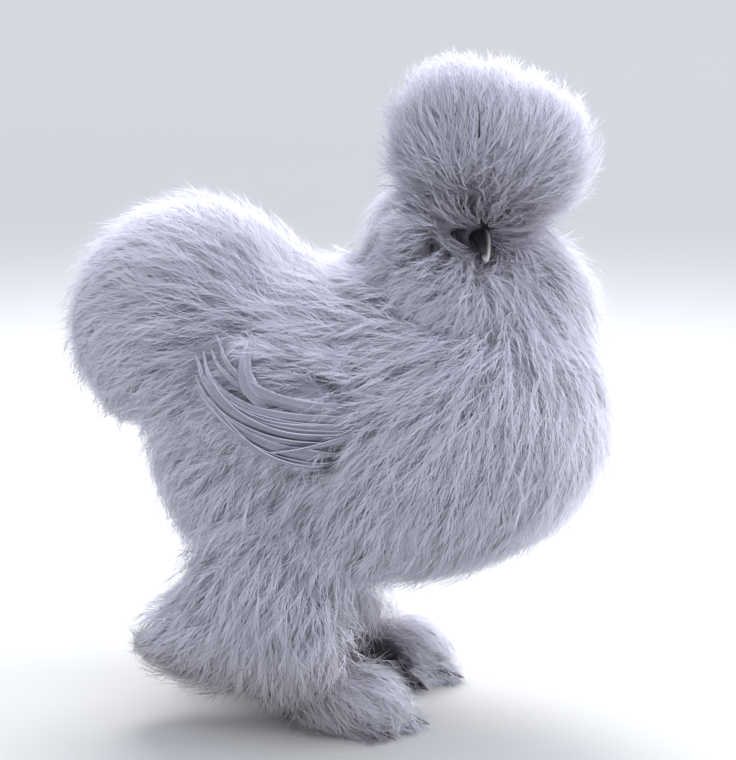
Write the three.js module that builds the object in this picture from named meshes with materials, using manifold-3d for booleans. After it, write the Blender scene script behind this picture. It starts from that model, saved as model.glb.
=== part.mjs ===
// A lavender bearded silkie hen, life size, standing with its head turned to its right.
// Millimetres: +X is the way the body faces, +Y is its left side and +Z is up.
// The solids are the bird out to the tips of its plumage, parted where its parts are named.

import * as THREE from 'three';
import { TessellateModifier } from 'three/addons/modifiers/TessellateModifier.js';
import { mergeVertices } from 'three/addons/utils/BufferGeometryUtils.js';
import Module from 'manifold-3d';

const wasm = await Module();
wasm.setup();

// Driving dimensions

const GAP = 0.3; // left between neighbouring solids
const FLOOR = 0; // the level that the toes stand on
const SOFTNESS = 15; // how widely neighbouring lobes of plumage run into each other
const FARTHEST_REACH = 200; // across the widest part of the bird
const LONGEST_EDGE = 27; // of a triangle of the plumage before it is split
const TESSELLATIONS = 8;
const RIGHT = -1; // sign of Y on the bird's right side
const LEFT = 1;

// Lobes of the body's plumage: centre and radii, and where it is so how far a lobe leans
// nose down in degrees, and how square its shoulders are, 2 being round.
const BREAST = { centre: [37, 0, 151], radii: [85, 75, 77] };
const BIB = { centre: [56, 3, 202], radii: [56, 40, 44] };
const BELLY = { centre: [8, 0, 110], radii: [66, 62, 45] };
const SADDLE = { centre: [-30, 0, 166], radii: [64, 70, 61] };
const CUSHION = { centre: [-86, 0, 191], radii: [64, 64, 62], dip: 4 };
const RUMP = { centre: [-58, 0, 130], radii: [53, 63, 58] };
const HACKLE = { centre: [42, 5, 226], radii: [47, 37, 48] };

// Lobes of each leg's plumage, for a leg on the centre line. LEG_PLACE moves them to each side.
const THIGH = { centre: [-42, 0, 74], radii: [44, 33, 42] };
const HOCK = { centre: [-69, 0, 42], radii: [41, 26, 26] };
const SHANK = { centre: [-28, 0, 34], radii: [36, 25, 28] };
const LEG_PLACE = { right: [0, -36], left: [6, 36] };

// Lobes that sit on the body without running into it.
const BOOT = { centre: [0, 0, 16], radii: [30, 19, 20] };
const BOOT_OUT = 6; // how far the boot stands outwards of the foot
const WING = { centre: [-28, 58, 161], radii: [48, 23, 32], dip: 14 };

// Where the body is parted: a point of the plane and the way it faces.
const TAIL_CUT = { point: [-80, 0, 192], facing: [-0.68, 0, 0.74] };
const NECK_CUT = { point: [45, 0, 216], facing: [-0.12, 0, 1] };
const NAPE_CUT = { point: [-14, 0, 226], facing: [1, 0, 0.3] };
const THIGH_CUT = { point: [-52, 0, 79], facing: [-0.37, 0, -0.93] };
const SHANK_CUT = { point: [-50, 0, 50], facing: [-0.26, 0, -0.97] };

// The head: its own frame has +X out of the beak and +Z out of the crown. It stands at a place
// on the bird, turned from straight ahead (left is positive), with its beak dipped and its crown
// tilted to the left, in degrees.
const HEAD = { place: [50, -11, 242.5], turn: -61, dip: 9, tilt: 28 };
const RUFF = { place: [52, -11, 242], turn: -68, dip: 15, tilt: 18 }; // of crest and beard
const SKULL = { centre: [-1, 0, 0], radii: [18, 13, 14] };
const FACE = { centre: [9, 0, -2], radii: [12, 9.5, 9.5] };
const NAPE = { centre: [-9, 0, -13], radii: [13, 12, 15] };
const CREST = { centre: [-9, -4, 37], radii: [43, 51.5, 39], square: 2.4 };
const BEAK_SPACE = { centre: [25, 0, -3], radii: [14, 8, 9] };
const CHIN = { centre: [19, -1, -30], radii: [28, 32, 27] };
const MUFF = { centre: [6, 25, -12], radii: [22, 17, 20] };
const COMB = { centre: [17.5, 0, 7.5], radii: [4.8, 4.2, 3.4], dip: 20 };
const HEAD_CLEARANCE = 1.6; // between the head and the plumage round it
const EYE = { centre: [9, 9.2, 3], radius: 4.2 };
const EYE_CLEARANCE = 4; // and more of it round the eyes

const BEAK_LENGTH = 18;
const BEAK_ROOT = [17, 0, 4]; // where the culmen leaves the forehead
const BEAK_HALF_WIDTH = 6;
const BEAK_DEPTH = 6.5; // of the upper half, at the root
const BEAK_DROOP = 6; // how far the line of the gape bends down towards the tip
const BEAK_SEAT = 6; // how far the beak is set into the face
const JAW_LENGTH = 15;
const JAW_DEPTH = 4;

// The bare foot, for one leg on the centre line.
const FOOT_PLACE = { right: [-12, -31], left: [-5, 34] };
const TOE_RADIUS = 4.6;
const TOE_TAPER = 0.72;
const FOOT_CLEARANCE = 1.6; // between the foot and the plumage over it
const SOLE_CUT = 0.9; // how much of a toe's round underside is flat
const METATARSUS_RADIUS = 6;
const METATARSUS_TOP = [-16, 0, 34];
const CLAW_LENGTH = 8;
// Each toe: the way it points in degrees, outwards being positive, its length and its rise.
const TOES = [
  { name: 'hallux', heading: -142, length: 17, rise: 0 },
  { name: 'inner', heading: -32, length: 31, rise: 0 },
  { name: 'middle', heading: 0, length: 40, rise: 0 },
  { name: 'outer', heading: 30, length: 33, rise: 0 },
  { name: 'fifth', heading: -172, length: 13, rise: 22 },
];

// Finishes

const finish = (colour, roughness) =>
  new THREE.MeshStandardMaterial({ color: colour, roughness, metalness: 0 });
const plumage = () => finish(0xbab8cb, 0.95);
const slateSkin = () => finish(0x39363f, 0.6);
const horn = () => finish(0x34323b, 0.35);
const eyeball = () => finish(0x120d0b, 0.08);
const combSkin = () => finish(0x2c222b, 0.65);

// Solids and how they are joined and cut

const radians = THREE.MathUtils.degToRad;
const vector = (numbers) => new THREE.Vector3(...numbers);

/** Turns a closed geometry into a solid that can be joined and cut. */
function solid(geometry) {
  const bare = geometry.clone();
  bare.deleteAttribute('normal');
  bare.deleteAttribute('uv');
  const merged = mergeVertices(bare, 1e-4);
  return new wasm.Manifold(
    new wasm.Mesh({
      numProp: 3,
      vertProperties: Float32Array.from(merged.attributes.position.array),
      triVerts: Uint32Array.from(merged.index.array),
    }),
  );
}

/** Turns a solid back into a mesh with its name and material. */
function piece(name, body, material) {
  const { vertProperties, triVerts } = body.getMesh();
  const geometry = new THREE.BufferGeometry();
  geometry.setAttribute('position', new THREE.BufferAttribute(vertProperties, 3));
  geometry.setIndex(new THREE.BufferAttribute(triVerts, 1));
  geometry.computeVertexNormals();
  const mesh = new THREE.Mesh(geometry, material);
  mesh.name = name;
  return mesh;
}

/** Everything on the side of a plane that it faces, as a very large box. */
function beyond({ point, facing }, gap = GAP / 2) {
  const reach = 600;
  const box = new THREE.BoxGeometry(reach, reach, reach);
  const normal = vector(facing).normalize();
  const turn = new THREE.Quaternion().setFromUnitVectors(new THREE.Vector3(0, 0, 1), normal);
  box.applyQuaternion(turn);
  box.translate(...vector(point).addScaledVector(normal, reach / 2 + gap));
  return solid(box);
}

/** The same plane facing the other way. */
const behind = ({ point, facing }) => beyond({ point, facing: facing.map((part) => -part) });

// Fields: about how far a point lies outside a shape, and below zero inside it

/** A lobe's field, grown outwards by the given margin. */
function lobeField({ centre, radii, dip = 0, square = 2 }, margin = 0) {
  const middle = vector(centre);
  const turn = new THREE.Quaternion().setFromAxisAngle(new THREE.Vector3(0, 1, 0), -radians(dip));
  const size = vector(radii).addScalar(margin);
  const local = new THREE.Vector3();
  return (point) => {
    local.copy(point).sub(middle).applyQuaternion(turn);
    const distance = local.length();
    const reach = local
      .divide(size)
      .toArray()
      .reduce((sum, part) => sum + Math.abs(part) ** square, 0) ** (1 / square);
    return reach < 1e-6 ? -Math.min(size.x, size.y, size.z) : distance * (1 - 1 / reach);
  };
}

/** Several fields run together softly, so no crease is left between them. */
function runTogether(fields, softness = SOFTNESS) {
  return (point) => {
    let nearest = Infinity;
    for (const field of fields) {
      const distance = field(point);
      const overlap = Math.max(softness - Math.abs(nearest - distance), 0) / softness;
      nearest = Math.min(nearest, distance) - (overlap * overlap * softness) / 4;
    }
    return nearest;
  };
}

/** How far along a ray from a point inside the field first reaches zero. */
function reachOf(field, middle, ray) {
  const step = 2;
  const probe = new THREE.Vector3();
  const outside = (distance) => field(probe.copy(middle).addScaledVector(ray, distance)) > 0;
  let far = step;
  while (!outside(far) && far < FARTHEST_REACH) far += step;
  let near = far - step;
  for (let turn = 0; turn < 14; turn += 1) {
    const half = (near + far) / 2;
    if (outside(half)) far = half;
    else near = half;
  }
  return near;
}

/** A closed surface: each point of a ball moves out on its own ray until the field is zero. */
function grown(field, centre, detail) {
  const middle = vector(centre);
  const ray = new THREE.Vector3();
  const spread = (geometry) => {
    const places = geometry.attributes.position;
    for (let i = 0; i < places.count; i += 1) {
      ray.fromBufferAttribute(places, i).normalize();
      places.setXYZ(i, ...ray.multiplyScalar(reachOf(field, middle, ray.clone())));
    }
    return geometry;
  };
  const coarse = spread(new THREE.IcosahedronGeometry(1, detail));
  const even = new TessellateModifier(LONGEST_EDGE, TESSELLATIONS).modify(coarse);
  return solid(spread(even).translate(...centre));
}

/** A single lobe as a solid. */
const lobe = (shape, detail, margin = 0) =>
  grown(lobeField(shape, margin), shape.centre, detail);

/** A copy of a lobe's numbers, moved along X and Y. */
const moved = (shape, [x, y]) => ({
  ...shape,
  centre: [shape.centre[0] + x, shape.centre[1] + y, shape.centre[2]],
});

/** A frame that stands on the bird, turned, dipped and tilted. */
function framed({ place, turn, dip, tilt }) {
  const group = new THREE.Group();
  group.position.set(...place);
  group.rotation.order = 'ZYX';
  group.rotation.set(-radians(tilt), radians(dip), radians(turn));
  group.updateMatrix();
  return group;
}

/** Puts a solid of one of these frames where it lies on the bird. */
const onBird = (body, group) => body.transform(group.matrix.elements);

// The head, in its own frame

const headFrame = framed(HEAD);

/** The upper half of the beak: a row of sections from the forehead to the hooked tip. */
function upperBeak(margin = 0) {
  return beakHalf(margin, BEAK_LENGTH, BEAK_DEPTH, 1);
}

/** The lower half, shorter and shallower, which closes under the upper one. */
function lowerBeak(margin = 0) {
  return beakHalf(margin, JAW_LENGTH, JAW_DEPTH, -1);
}

/** How far the line of the gape has drooped at a distance ahead of the beak's root. */
const gapeDroop = (ahead) => BEAK_DROOP * Math.max(ahead / BEAK_LENGTH, 0) ** 2.4;

/** Half a beak, set a little way into the face. Its flat side lies on the line of the gape. */
function beakHalf(margin, length, depth, side) {
  const sections = 6;
  const around = 10;
  const shape = new THREE.CylinderGeometry(1, 1, 1, around, sections);
  shape.rotateZ(-Math.PI / 2);
  const places = shape.attributes.position;
  const gape = BEAK_ROOT[2] - BEAK_DEPTH;
  for (let i = 0; i < places.count; i += 1) {
    const along = places.getX(i) + 0.5;
    const ahead = along * (length + BEAK_SEAT + margin) - BEAK_SEAT;
    const thin = Math.sqrt(Math.max(1 - along ** 2.2, 0)) * (1 - 0.1 * along) + 0.06;
    const halfWidth = BEAK_HALF_WIDTH * thin + margin;
    const round = Math.max(places.getZ(i) * side, 0);
    const height = (depth * thin + margin) * round + (round > 0 ? GAP / 2 : GAP / 2 - margin);
    places.setXYZ(
      i,
      BEAK_ROOT[0] + ahead,
      places.getY(i) * halfWidth,
      gape - gapeDroop(ahead) + height * side,
    );
  }
  return solid(shape);
}

/** A walnut comb: a small lobe with rows of rounded bumps. */
function comb(margin = 0) {
  const smooth = lobeField(COMB, margin);
  const bumpy = (point) =>
    smooth(point) - 0.45 * Math.sin(point.x * 1.9) * Math.cos(point.y * 1.9);
  return grown(bumpy, COMB.centre, 2);
}

/** One eyeball. */
function eye(side, margin = 0) {
  const ball = new THREE.SphereGeometry(EYE.radius + margin, 10, 7);
  ball.rotateX(Math.PI / 2);
  ball.translate(EYE.centre[0], EYE.centre[1] * side, EYE.centre[2]);
  return solid(ball);
}

/** The skull with its skin, with room for what is set into it. */
function head(margin = 0) {
  const field = runTogether([SKULL, FACE, NAPE].map((part) => lobeField(part, margin)), 6);
  return grown(field, [2, 0, -2], 2);
}

/** The room that the plumage leaves for the head, its eyes, comb and beak. */
function headSpace() {
  const reach = EYE.radius + EYE_CLEARANCE;
  const eyes = [RIGHT, LEFT].map((side) => {
    const [x, y, z] = EYE.centre;
    return { centre: [x, y * side, z], radii: [reach, reach, reach] };
  });
  const parts = [SKULL, FACE, NAPE, COMB, BEAK_SPACE, ...eyes];
  const field = runTogether(parts.map((part) => lobeField(part, HEAD_CLEARANCE)), 6);
  return grown(field, [2, 0, -2], 2);
}

const beaks = upperBeak(GAP).add(lowerBeak(GAP));
const headSolid = head()
  .subtract(beaks)
  .subtract(comb(GAP))
  .subtract(eye(RIGHT, GAP))
  .subtract(eye(LEFT, GAP));
const combSolid = comb().subtract(beaks);

/** The beard hangs under the beak and runs into a muff on each cheek. */
function beard(margin = 0) {
  const muffs = [RIGHT, LEFT].map((side) => {
    const [x, y, z] = MUFF.centre;
    return { ...MUFF, centre: [x, y * side, z] };
  });
  const field = runTogether([CHIN, ...muffs].map((part) => lobeField(part, margin)), 10);
  return grown(field, [4, 0, -20], 3);
}

const ruffFrame = framed(RUFF);
const headRoom = onBird(headSpace(), headFrame);
const crestRoom = onBird(lobe(CREST, 3, GAP), ruffFrame);
const crestSolid = onBird(lobe(CREST, 3), ruffFrame).subtract(headRoom);
const beardSolid = onBird(beard(), ruffFrame).subtract(crestRoom).subtract(headRoom);
const headgear = onBird(beard(GAP), ruffFrame).add(crestRoom).add(headRoom);

headFrame.add(
  piece('head', headSolid, slateSkin()),
  piece('beak_upper', upperBeak(), horn()),
  piece('beak_lower', lowerBeak(), horn()),
  piece('comb', combSolid, combSkin()),
  piece('eye_right', eye(RIGHT), eyeball()),
  piece('eye_left', eye(LEFT), eyeball()),
);

// The body's plumage, parted by planes

const legLobes = ['right', 'left'].flatMap((side) =>
  [THIGH, HOCK, SHANK].map((shape) => moved(shape, LEG_PLACE[side])),
);
const bodyLobes = [BREAST, BIB, BELLY, SADDLE, CUSHION, RUMP, HACKLE];
const bodyField = runTogether([...bodyLobes, ...legLobes].map((shape) => lobeField(shape)));

/** A wing lies in a shallow bed on the side of the body. */
const wing = (side, margin = 0) => {
  const [x, y, z] = WING.centre;
  return lobe({ ...WING, centre: [x, y * side, z] }, 3, margin);
};
const wingRoom = wing(RIGHT, GAP).add(wing(LEFT, GAP));

/** The neck's share of the plumage: above one plane and ahead of another. */
const neckCell = (gap) => beyond(NECK_CUT, gap).intersect(beyond(NAPE_CUT, gap));

const neckSolid = grown(bodyField, HACKLE.centre, 3)
  .intersect(neckCell(GAP / 2))
  .subtract(headgear);
const trunkSolid = grown(bodyField, [10, 0, 150], 5)
  .subtract(neckCell(-GAP / 2))
  .intersect(behind(TAIL_CUT))
  .intersect(behind(THIGH_CUT))
  .subtract(headgear)
  .subtract(wingRoom);
const tailSolid = grown(bodyField, CUSHION.centre, 4)
  .intersect(beyond(TAIL_CUT))
  .intersect(behind(THIGH_CUT))
  .subtract(wingRoom);

const bird = new THREE.Group();
bird.add(
  headFrame,
  piece('crest', crestSolid, plumage()),
  piece('beard', beardSolid, plumage()),
  piece('neck', neckSolid, plumage()),
  piece('trunk', trunkSolid, plumage()),
  piece('tail', tailSolid, plumage()),
  piece('wing_right', wing(RIGHT), plumage()),
  piece('wing_left', wing(LEFT), plumage()),
);

// The legs

/** A toe lies on the floor, tapers to its claw and is flat under its pads. */
function toe({ heading, length, rise }, side, margin, sides) {
  const steps = 2;
  const radiusAt = (along) => TOE_RADIUS * (1 - (1 - TOE_TAPER) * along) + margin;
  const profile = [new THREE.Vector2(0, -radiusAt(0))];
  for (let i = 1; i <= steps; i += 1) {
    const angle = (i / steps - 1) * (Math.PI / 2);
    profile.push(new THREE.Vector2(radiusAt(0) * Math.cos(angle), radiusAt(0) * Math.sin(angle)));
  }
  for (let i = 0; i <= steps; i += 1) {
    const angle = (i / steps) * (Math.PI / 2);
    const radius = radiusAt(1);
    profile.push(new THREE.Vector2(radius * Math.cos(angle), length + radius * Math.sin(angle)));
  }
  profile[profile.length - 1].x = 0;
  const shape = new THREE.LatheGeometry(profile, sides);
  shape.rotateZ(-Math.PI / 2);
  shape.rotateY(-radians(rise));
  shape.rotateZ(radians(heading) * side);
  shape.translate(0, 0, FLOOR + TOE_RADIUS - SOLE_CUT + (rise ? TOE_RADIUS : 0));
  return solid(shape);
}

/** The bare foot: toes, ball and the lower end of the shank, on flat soles. */
function foot(side, margin = 0, plain = false) {
  const shank = new THREE.CatmullRomCurve3([
    new THREE.Vector3(0, 0, TOE_RADIUS - 1),
    new THREE.Vector3(METATARSUS_TOP[0] / 2, 0, METATARSUS_TOP[2] / 2),
    vector(METATARSUS_TOP),
  ]);
  const sides = plain ? 5 : 6;
  const ring = new THREE.Shape().absarc(0, 0, METATARSUS_RADIUS + margin, 0, 2 * Math.PI);
  const stem = new THREE.ExtrudeGeometry(ring, { steps: 2, curveSegments: 4, extrudePath: shank });
  let body = solid(stem);
  for (const each of TOES) body = body.add(toe(each, side, margin, sides));
  return body.intersect(beyond({ point: [0, 0, FLOOR - margin], facing: [0, 0, 1] }, 0));
}

/** A claw curves down from the end of its toe. */
function claw({ heading, length, rise }, side, margin = 0) {
  const radius = TOE_RADIUS * TOE_TAPER * 0.62 + margin;
  const shape = new THREE.ConeGeometry(radius, CLAW_LENGTH + 2 * margin, 6, 2);
  shape.rotateZ(-Math.PI / 2);
  const places = shape.attributes.position;
  for (let i = 0; i < places.count; i += 1) {
    const along = places.getX(i) / CLAW_LENGTH + 0.5;
    places.setZ(i, places.getZ(i) - 1.4 * along * along);
  }
  shape.translate(length + TOE_RADIUS * TOE_TAPER + CLAW_LENGTH / 2 - 2, 0, 0);
  shape.rotateY(-radians(rise));
  shape.rotateZ(radians(heading) * side);
  shape.translate(0, 0, FLOOR + TOE_RADIUS - SOLE_CUT + (rise ? TOE_RADIUS : 0));
  return solid(shape);
}

for (const [name, side] of [['right', RIGHT], ['left', LEFT]]) {
  const [footX, footY] = FOOT_PLACE[name];
  const stand = (body) => body.translate(footX, footY, 0);
  const leg = (shape) => moved(shape, LEG_PLACE[name]);
  const bootShape = moved(BOOT, [footX + 8, footY + BOOT_OUT * side]);
  const clawRoom = stand(
    TOES.map((each) => claw(each, side, GAP)).reduce((all, each) => all.add(each)),
  );
  const footRoom = stand(foot(side, FOOT_CLEARANCE, true)).add(clawRoom);
  const footSolid = stand(foot(side));
  const bootRoom = lobe(bootShape, 2, GAP);
  const boot = lobe(bootShape, 2)
    .intersect(beyond({ point: [0, 0, FLOOR + 1], facing: [0, 0, 1] }, 0))
    .subtract(footRoom);
  const ownSide = beyond({ point: [0, 0, 0], facing: [0, side, 0] });
  const thigh = grown(bodyField, leg(THIGH).centre, 3)
    .intersect(beyond(THIGH_CUT))
    .intersect(behind(SHANK_CUT))
    .intersect(ownSide)
    .subtract(bootRoom);
  const shank = grown(bodyField, leg({ ...SHANK, centre: [-45, 0, 34] }).centre, 3)
    .intersect(beyond(SHANK_CUT))
    .intersect(ownSide)
    .subtract(bootRoom)
    .subtract(footRoom);
  bird.add(
    piece(`thigh_${name}`, thigh, plumage()),
    piece(`shank_${name}`, shank, plumage()),
    piece(`boot_${name}`, boot, plumage()),
    piece(`foot_${name}`, footSolid, slateSkin()),
  );
  for (const each of TOES) {
    const clawSolid = stand(claw(each, side).subtract(foot(side, GAP)));
    bird.add(piece(`claw_${each.name}_${name}`, clawSolid, horn()));
  }
}

// The origin is under the middle of the bird, on the floor.
const bounds = new THREE.Box3().setFromObject(bird, true);
const middle = bounds.getCenter(new THREE.Vector3());
bird.position.set(-middle.x, -middle.y, -bounds.min.z);

export default bird;
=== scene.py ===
"""A lavender bearded silkie hen, life size, in the photograph's pose.

Shapes are worked out in millimetres in the bird's own frame: +X is the way the body faces, +Y is
its left side, +Z is up. They are set down in the part's frame, in metres, as each mesh is made.
"""

import logging
import math
from dataclasses import dataclass, field, replace
from enum import Enum
from typing import Callable, Optional, Union

import bpy
import numpy as np
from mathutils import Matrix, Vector


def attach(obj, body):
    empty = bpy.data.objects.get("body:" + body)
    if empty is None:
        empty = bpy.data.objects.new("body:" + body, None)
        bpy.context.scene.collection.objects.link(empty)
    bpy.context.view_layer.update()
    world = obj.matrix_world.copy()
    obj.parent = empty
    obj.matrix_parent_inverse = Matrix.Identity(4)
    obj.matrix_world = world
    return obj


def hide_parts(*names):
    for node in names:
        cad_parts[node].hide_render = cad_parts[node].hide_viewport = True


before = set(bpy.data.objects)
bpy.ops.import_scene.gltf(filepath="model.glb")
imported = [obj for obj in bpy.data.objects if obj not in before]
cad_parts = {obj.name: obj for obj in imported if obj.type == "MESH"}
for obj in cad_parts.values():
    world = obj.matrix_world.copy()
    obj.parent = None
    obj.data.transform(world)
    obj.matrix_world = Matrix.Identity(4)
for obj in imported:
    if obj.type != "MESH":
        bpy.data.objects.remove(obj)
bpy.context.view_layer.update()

LOG = logging.getLogger("silkie")
MM = 0.001
BIRD_ORIGIN = np.array([13.759, 0.0, 0.0])  # the bird's own origin, in millimetres of the part's frame
BAKE_MAP = "OFBake"
PATCH = 0.003  # across one plume's patch of the bake map
BODY = "root"

Array = np.ndarray
Point = tuple[float, float, float]
Pair = tuple[float, float]
Random = np.random.Generator
Tree = bpy.types.NodeTree
Node = bpy.types.Node
Socket = bpy.types.NodeSocket
Sockets = bpy.types.bpy_prop_collection
Input = Union[Socket, float, tuple]


class Side(Enum):
    """The two sides of the bird, by the sign of Y."""

    RIGHT = -1
    LEFT = 1

    @property
    def word(self) -> str:
        """The side's name as it is used in the names of pieces."""
        return self.name.lower()


# Arrays of points and directions


def unit(vectors: Array) -> Array:
    """Scales vectors to length one, and leaves those of no length alone."""
    length = np.linalg.norm(vectors, axis=-1, keepdims=True)
    return vectors / np.maximum(length, 1e-9)


def along_surface(vectors: Array, normals: Array) -> Array:
    """Lays vectors flat on a surface with these normals, at length one."""
    return unit(vectors - normals * np.sum(vectors * normals, axis=-1, keepdims=True))


def eased(values: Array, low: float, high: float) -> Array:
    """Rises smoothly from 0 at low to 1 at high, and holds outside them."""
    share = np.clip((values - low) / (high - low), 0.0, 1.0)
    return share * share * (3.0 - 2.0 * share)


def ripple(points: Array, size: float, phase: float) -> Array:
    """A smooth wandering value from about -1 to 1 over space.

    Args:
        points: places in millimetres, one to a row.
        size: how far apart its hills are, in millimetres.
        phase: a number that gives each use its own pattern.

    Returns:
        One value for each point.
    """
    p = points * (2.0 * math.pi / size)
    x, y, z = p[..., 0], p[..., 1], p[..., 2]
    first = np.sin(x + 1.7 * np.sin(0.6 * y + phase) + phase)
    second = np.sin(0.9 * y + 1.5 * np.sin(0.7 * z - phase) + 2.1 * phase)
    third = np.sin(1.1 * z + 1.6 * np.sin(0.5 * x + 2.0 * phase) - phase)
    return (first + second + third) / 3.0


# Forms: how far a point lies outside a shape, in millimetres, and below zero inside it


@dataclass(frozen=True)
class Lobe:
    """A rounded mass: an ellipsoid that may lean nose down and have square shoulders."""

    centre: Point
    radii: Point
    dip: float = 0.0
    square: float = 2.0

    def distance(self, points: Array) -> Array:
        """How far each point lies outside the lobe.

        Args:
            points: places in millimetres.

        Returns:
            One distance for each point, in millimetres.
        """
        local = points - np.array(self.centre)
        if self.dip:
            lean = math.radians(self.dip)
            x = local[..., 0] * math.cos(lean) - local[..., 2] * math.sin(lean)
            z = local[..., 0] * math.sin(lean) + local[..., 2] * math.cos(lean)
            local = np.stack([x, local[..., 1], z], axis=-1)
        length = np.linalg.norm(local, axis=-1)
        shares = np.abs(local / np.array(self.radii))
        reach = np.sum(shares**self.square, axis=-1) ** (1.0 / self.square)
        return length * (1.0 - 1.0 / np.maximum(reach, 1e-3))

    def moved(self, x: float, y: float) -> "Lobe":
        """The same lobe moved along X and Y."""
        cx, cy, cz = self.centre
        return replace(self, centre=(cx + x, cy + y, cz))

    def mirrored(self) -> "Lobe":
        """The same lobe on the other side of the middle."""
        cx, cy, cz = self.centre
        return replace(self, centre=(cx, -cy, cz))


@dataclass(frozen=True)
class Limb:
    """A round bar that tapers from one end to the other, such as a toe."""

    start: Point
    end: Point
    start_radius: float
    end_radius: float

    def distance(self, points: Array) -> Array:
        """How far each point lies outside the bar.

        Args:
            points: places in millimetres.

        Returns:
            One distance for each point, in millimetres.
        """
        start, end = np.array(self.start), np.array(self.end)
        run = end - start
        share = np.clip(((points - start) @ run) / (run @ run), 0.0, 1.0)
        radius = self.start_radius + (self.end_radius - self.start_radius) * share
        return np.linalg.norm(points - start - share[..., None] * run, axis=-1) - radius


@dataclass(frozen=True)
class Rim:
    """A round rim, such as the edge of an eyelid."""

    centre: Point
    facing: Point
    radius: float
    thickness: float

    def distance(self, points: Array) -> Array:
        """How far each point lies outside the rim.

        Args:
            points: places in millimetres.

        Returns:
            One distance for each point, in millimetres.
        """
        local = points - np.array(self.centre)
        axis = unit(np.array(self.facing))
        height = local @ axis
        across = np.linalg.norm(local - height[..., None] * axis, axis=-1)
        return np.hypot(across - self.radius, height) - self.thickness


@dataclass(frozen=True)
class Placement:
    """Where a part with a frame of its own sits on the bird."""

    origin: Point = (0.0, 0.0, 0.0)
    turn: float = 0.0
    dip: float = 0.0
    tilt: float = 0.0

    @property
    def matrix(self) -> Array:
        """The part's three axes on the bird, in columns.

        Returns:
            A three by three matrix.
        """
        a, b, c = (math.radians(v) for v in (self.turn, self.dip, -self.tilt))
        about_z = np.array([[math.cos(a), -math.sin(a), 0], [math.sin(a), math.cos(a), 0], [0, 0, 1]])
        about_y = np.array([[math.cos(b), 0, math.sin(b)], [0, 1, 0], [-math.sin(b), 0, math.cos(b)]])
        about_x = np.array([[1, 0, 0], [0, math.cos(c), -math.sin(c)], [0, math.sin(c), math.cos(c)]])
        return about_z @ about_y @ about_x

    def on_bird(self, points: Array) -> Array:
        """Takes points of the part's frame to the bird's."""
        return np.asarray(points, float) @ self.matrix.T + np.array(self.origin)

    def local(self, points: Array) -> Array:
        """Takes points of the bird's frame to the part's."""
        return (points - np.array(self.origin)) @ self.matrix


@dataclass(frozen=True)
class Form:
    """Lobes and limbs that run softly into each other."""

    parts: tuple
    softness: float = 15.0
    placement: Placement = Placement()

    def distance(self, points: Array) -> Array:
        """How far each point lies outside the form.

        Args:
            points: places in millimetres.

        Returns:
            One distance for each point, in millimetres.
        """
        local = self.placement.local(points)
        nearest = self.parts[0].distance(local)
        for part in self.parts[1:]:
            nearest = run_together(nearest, part.distance(local), self.softness)
        return nearest


@dataclass(frozen=True)
class Carved:
    """A form with a space cut out of it."""

    form: Form
    space: Form

    def distance(self, points: Array) -> Array:
        """How far each point lies outside what is left of the form."""
        return np.maximum(self.form.distance(points), -self.space.distance(points))


def run_together(first: Array, second: Array, softness: float) -> Array:
    """Joins two distances, eased together this far from the crease where they meet."""
    overlap = np.maximum(softness - np.abs(first - second), 0.0) / softness
    return np.minimum(first, second) - overlap * overlap * softness / 4.0


def outward(distance: Callable[[Array], Array], points: Array) -> Array:
    """The direction straight out of a form at each point.

    Args:
        distance: the form's own measure.
        points: places in millimetres.

    Returns:
        One direction of length one for each point.
    """
    total = np.zeros_like(points)
    for corner in ((1, -1, -1), (-1, -1, 1), (-1, 1, -1), (1, 1, 1)):
        way = np.array(corner, float)
        total += way * distance(points + 0.5 * way)[..., None]
    return unit(total)


# The bird's sizes


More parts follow.
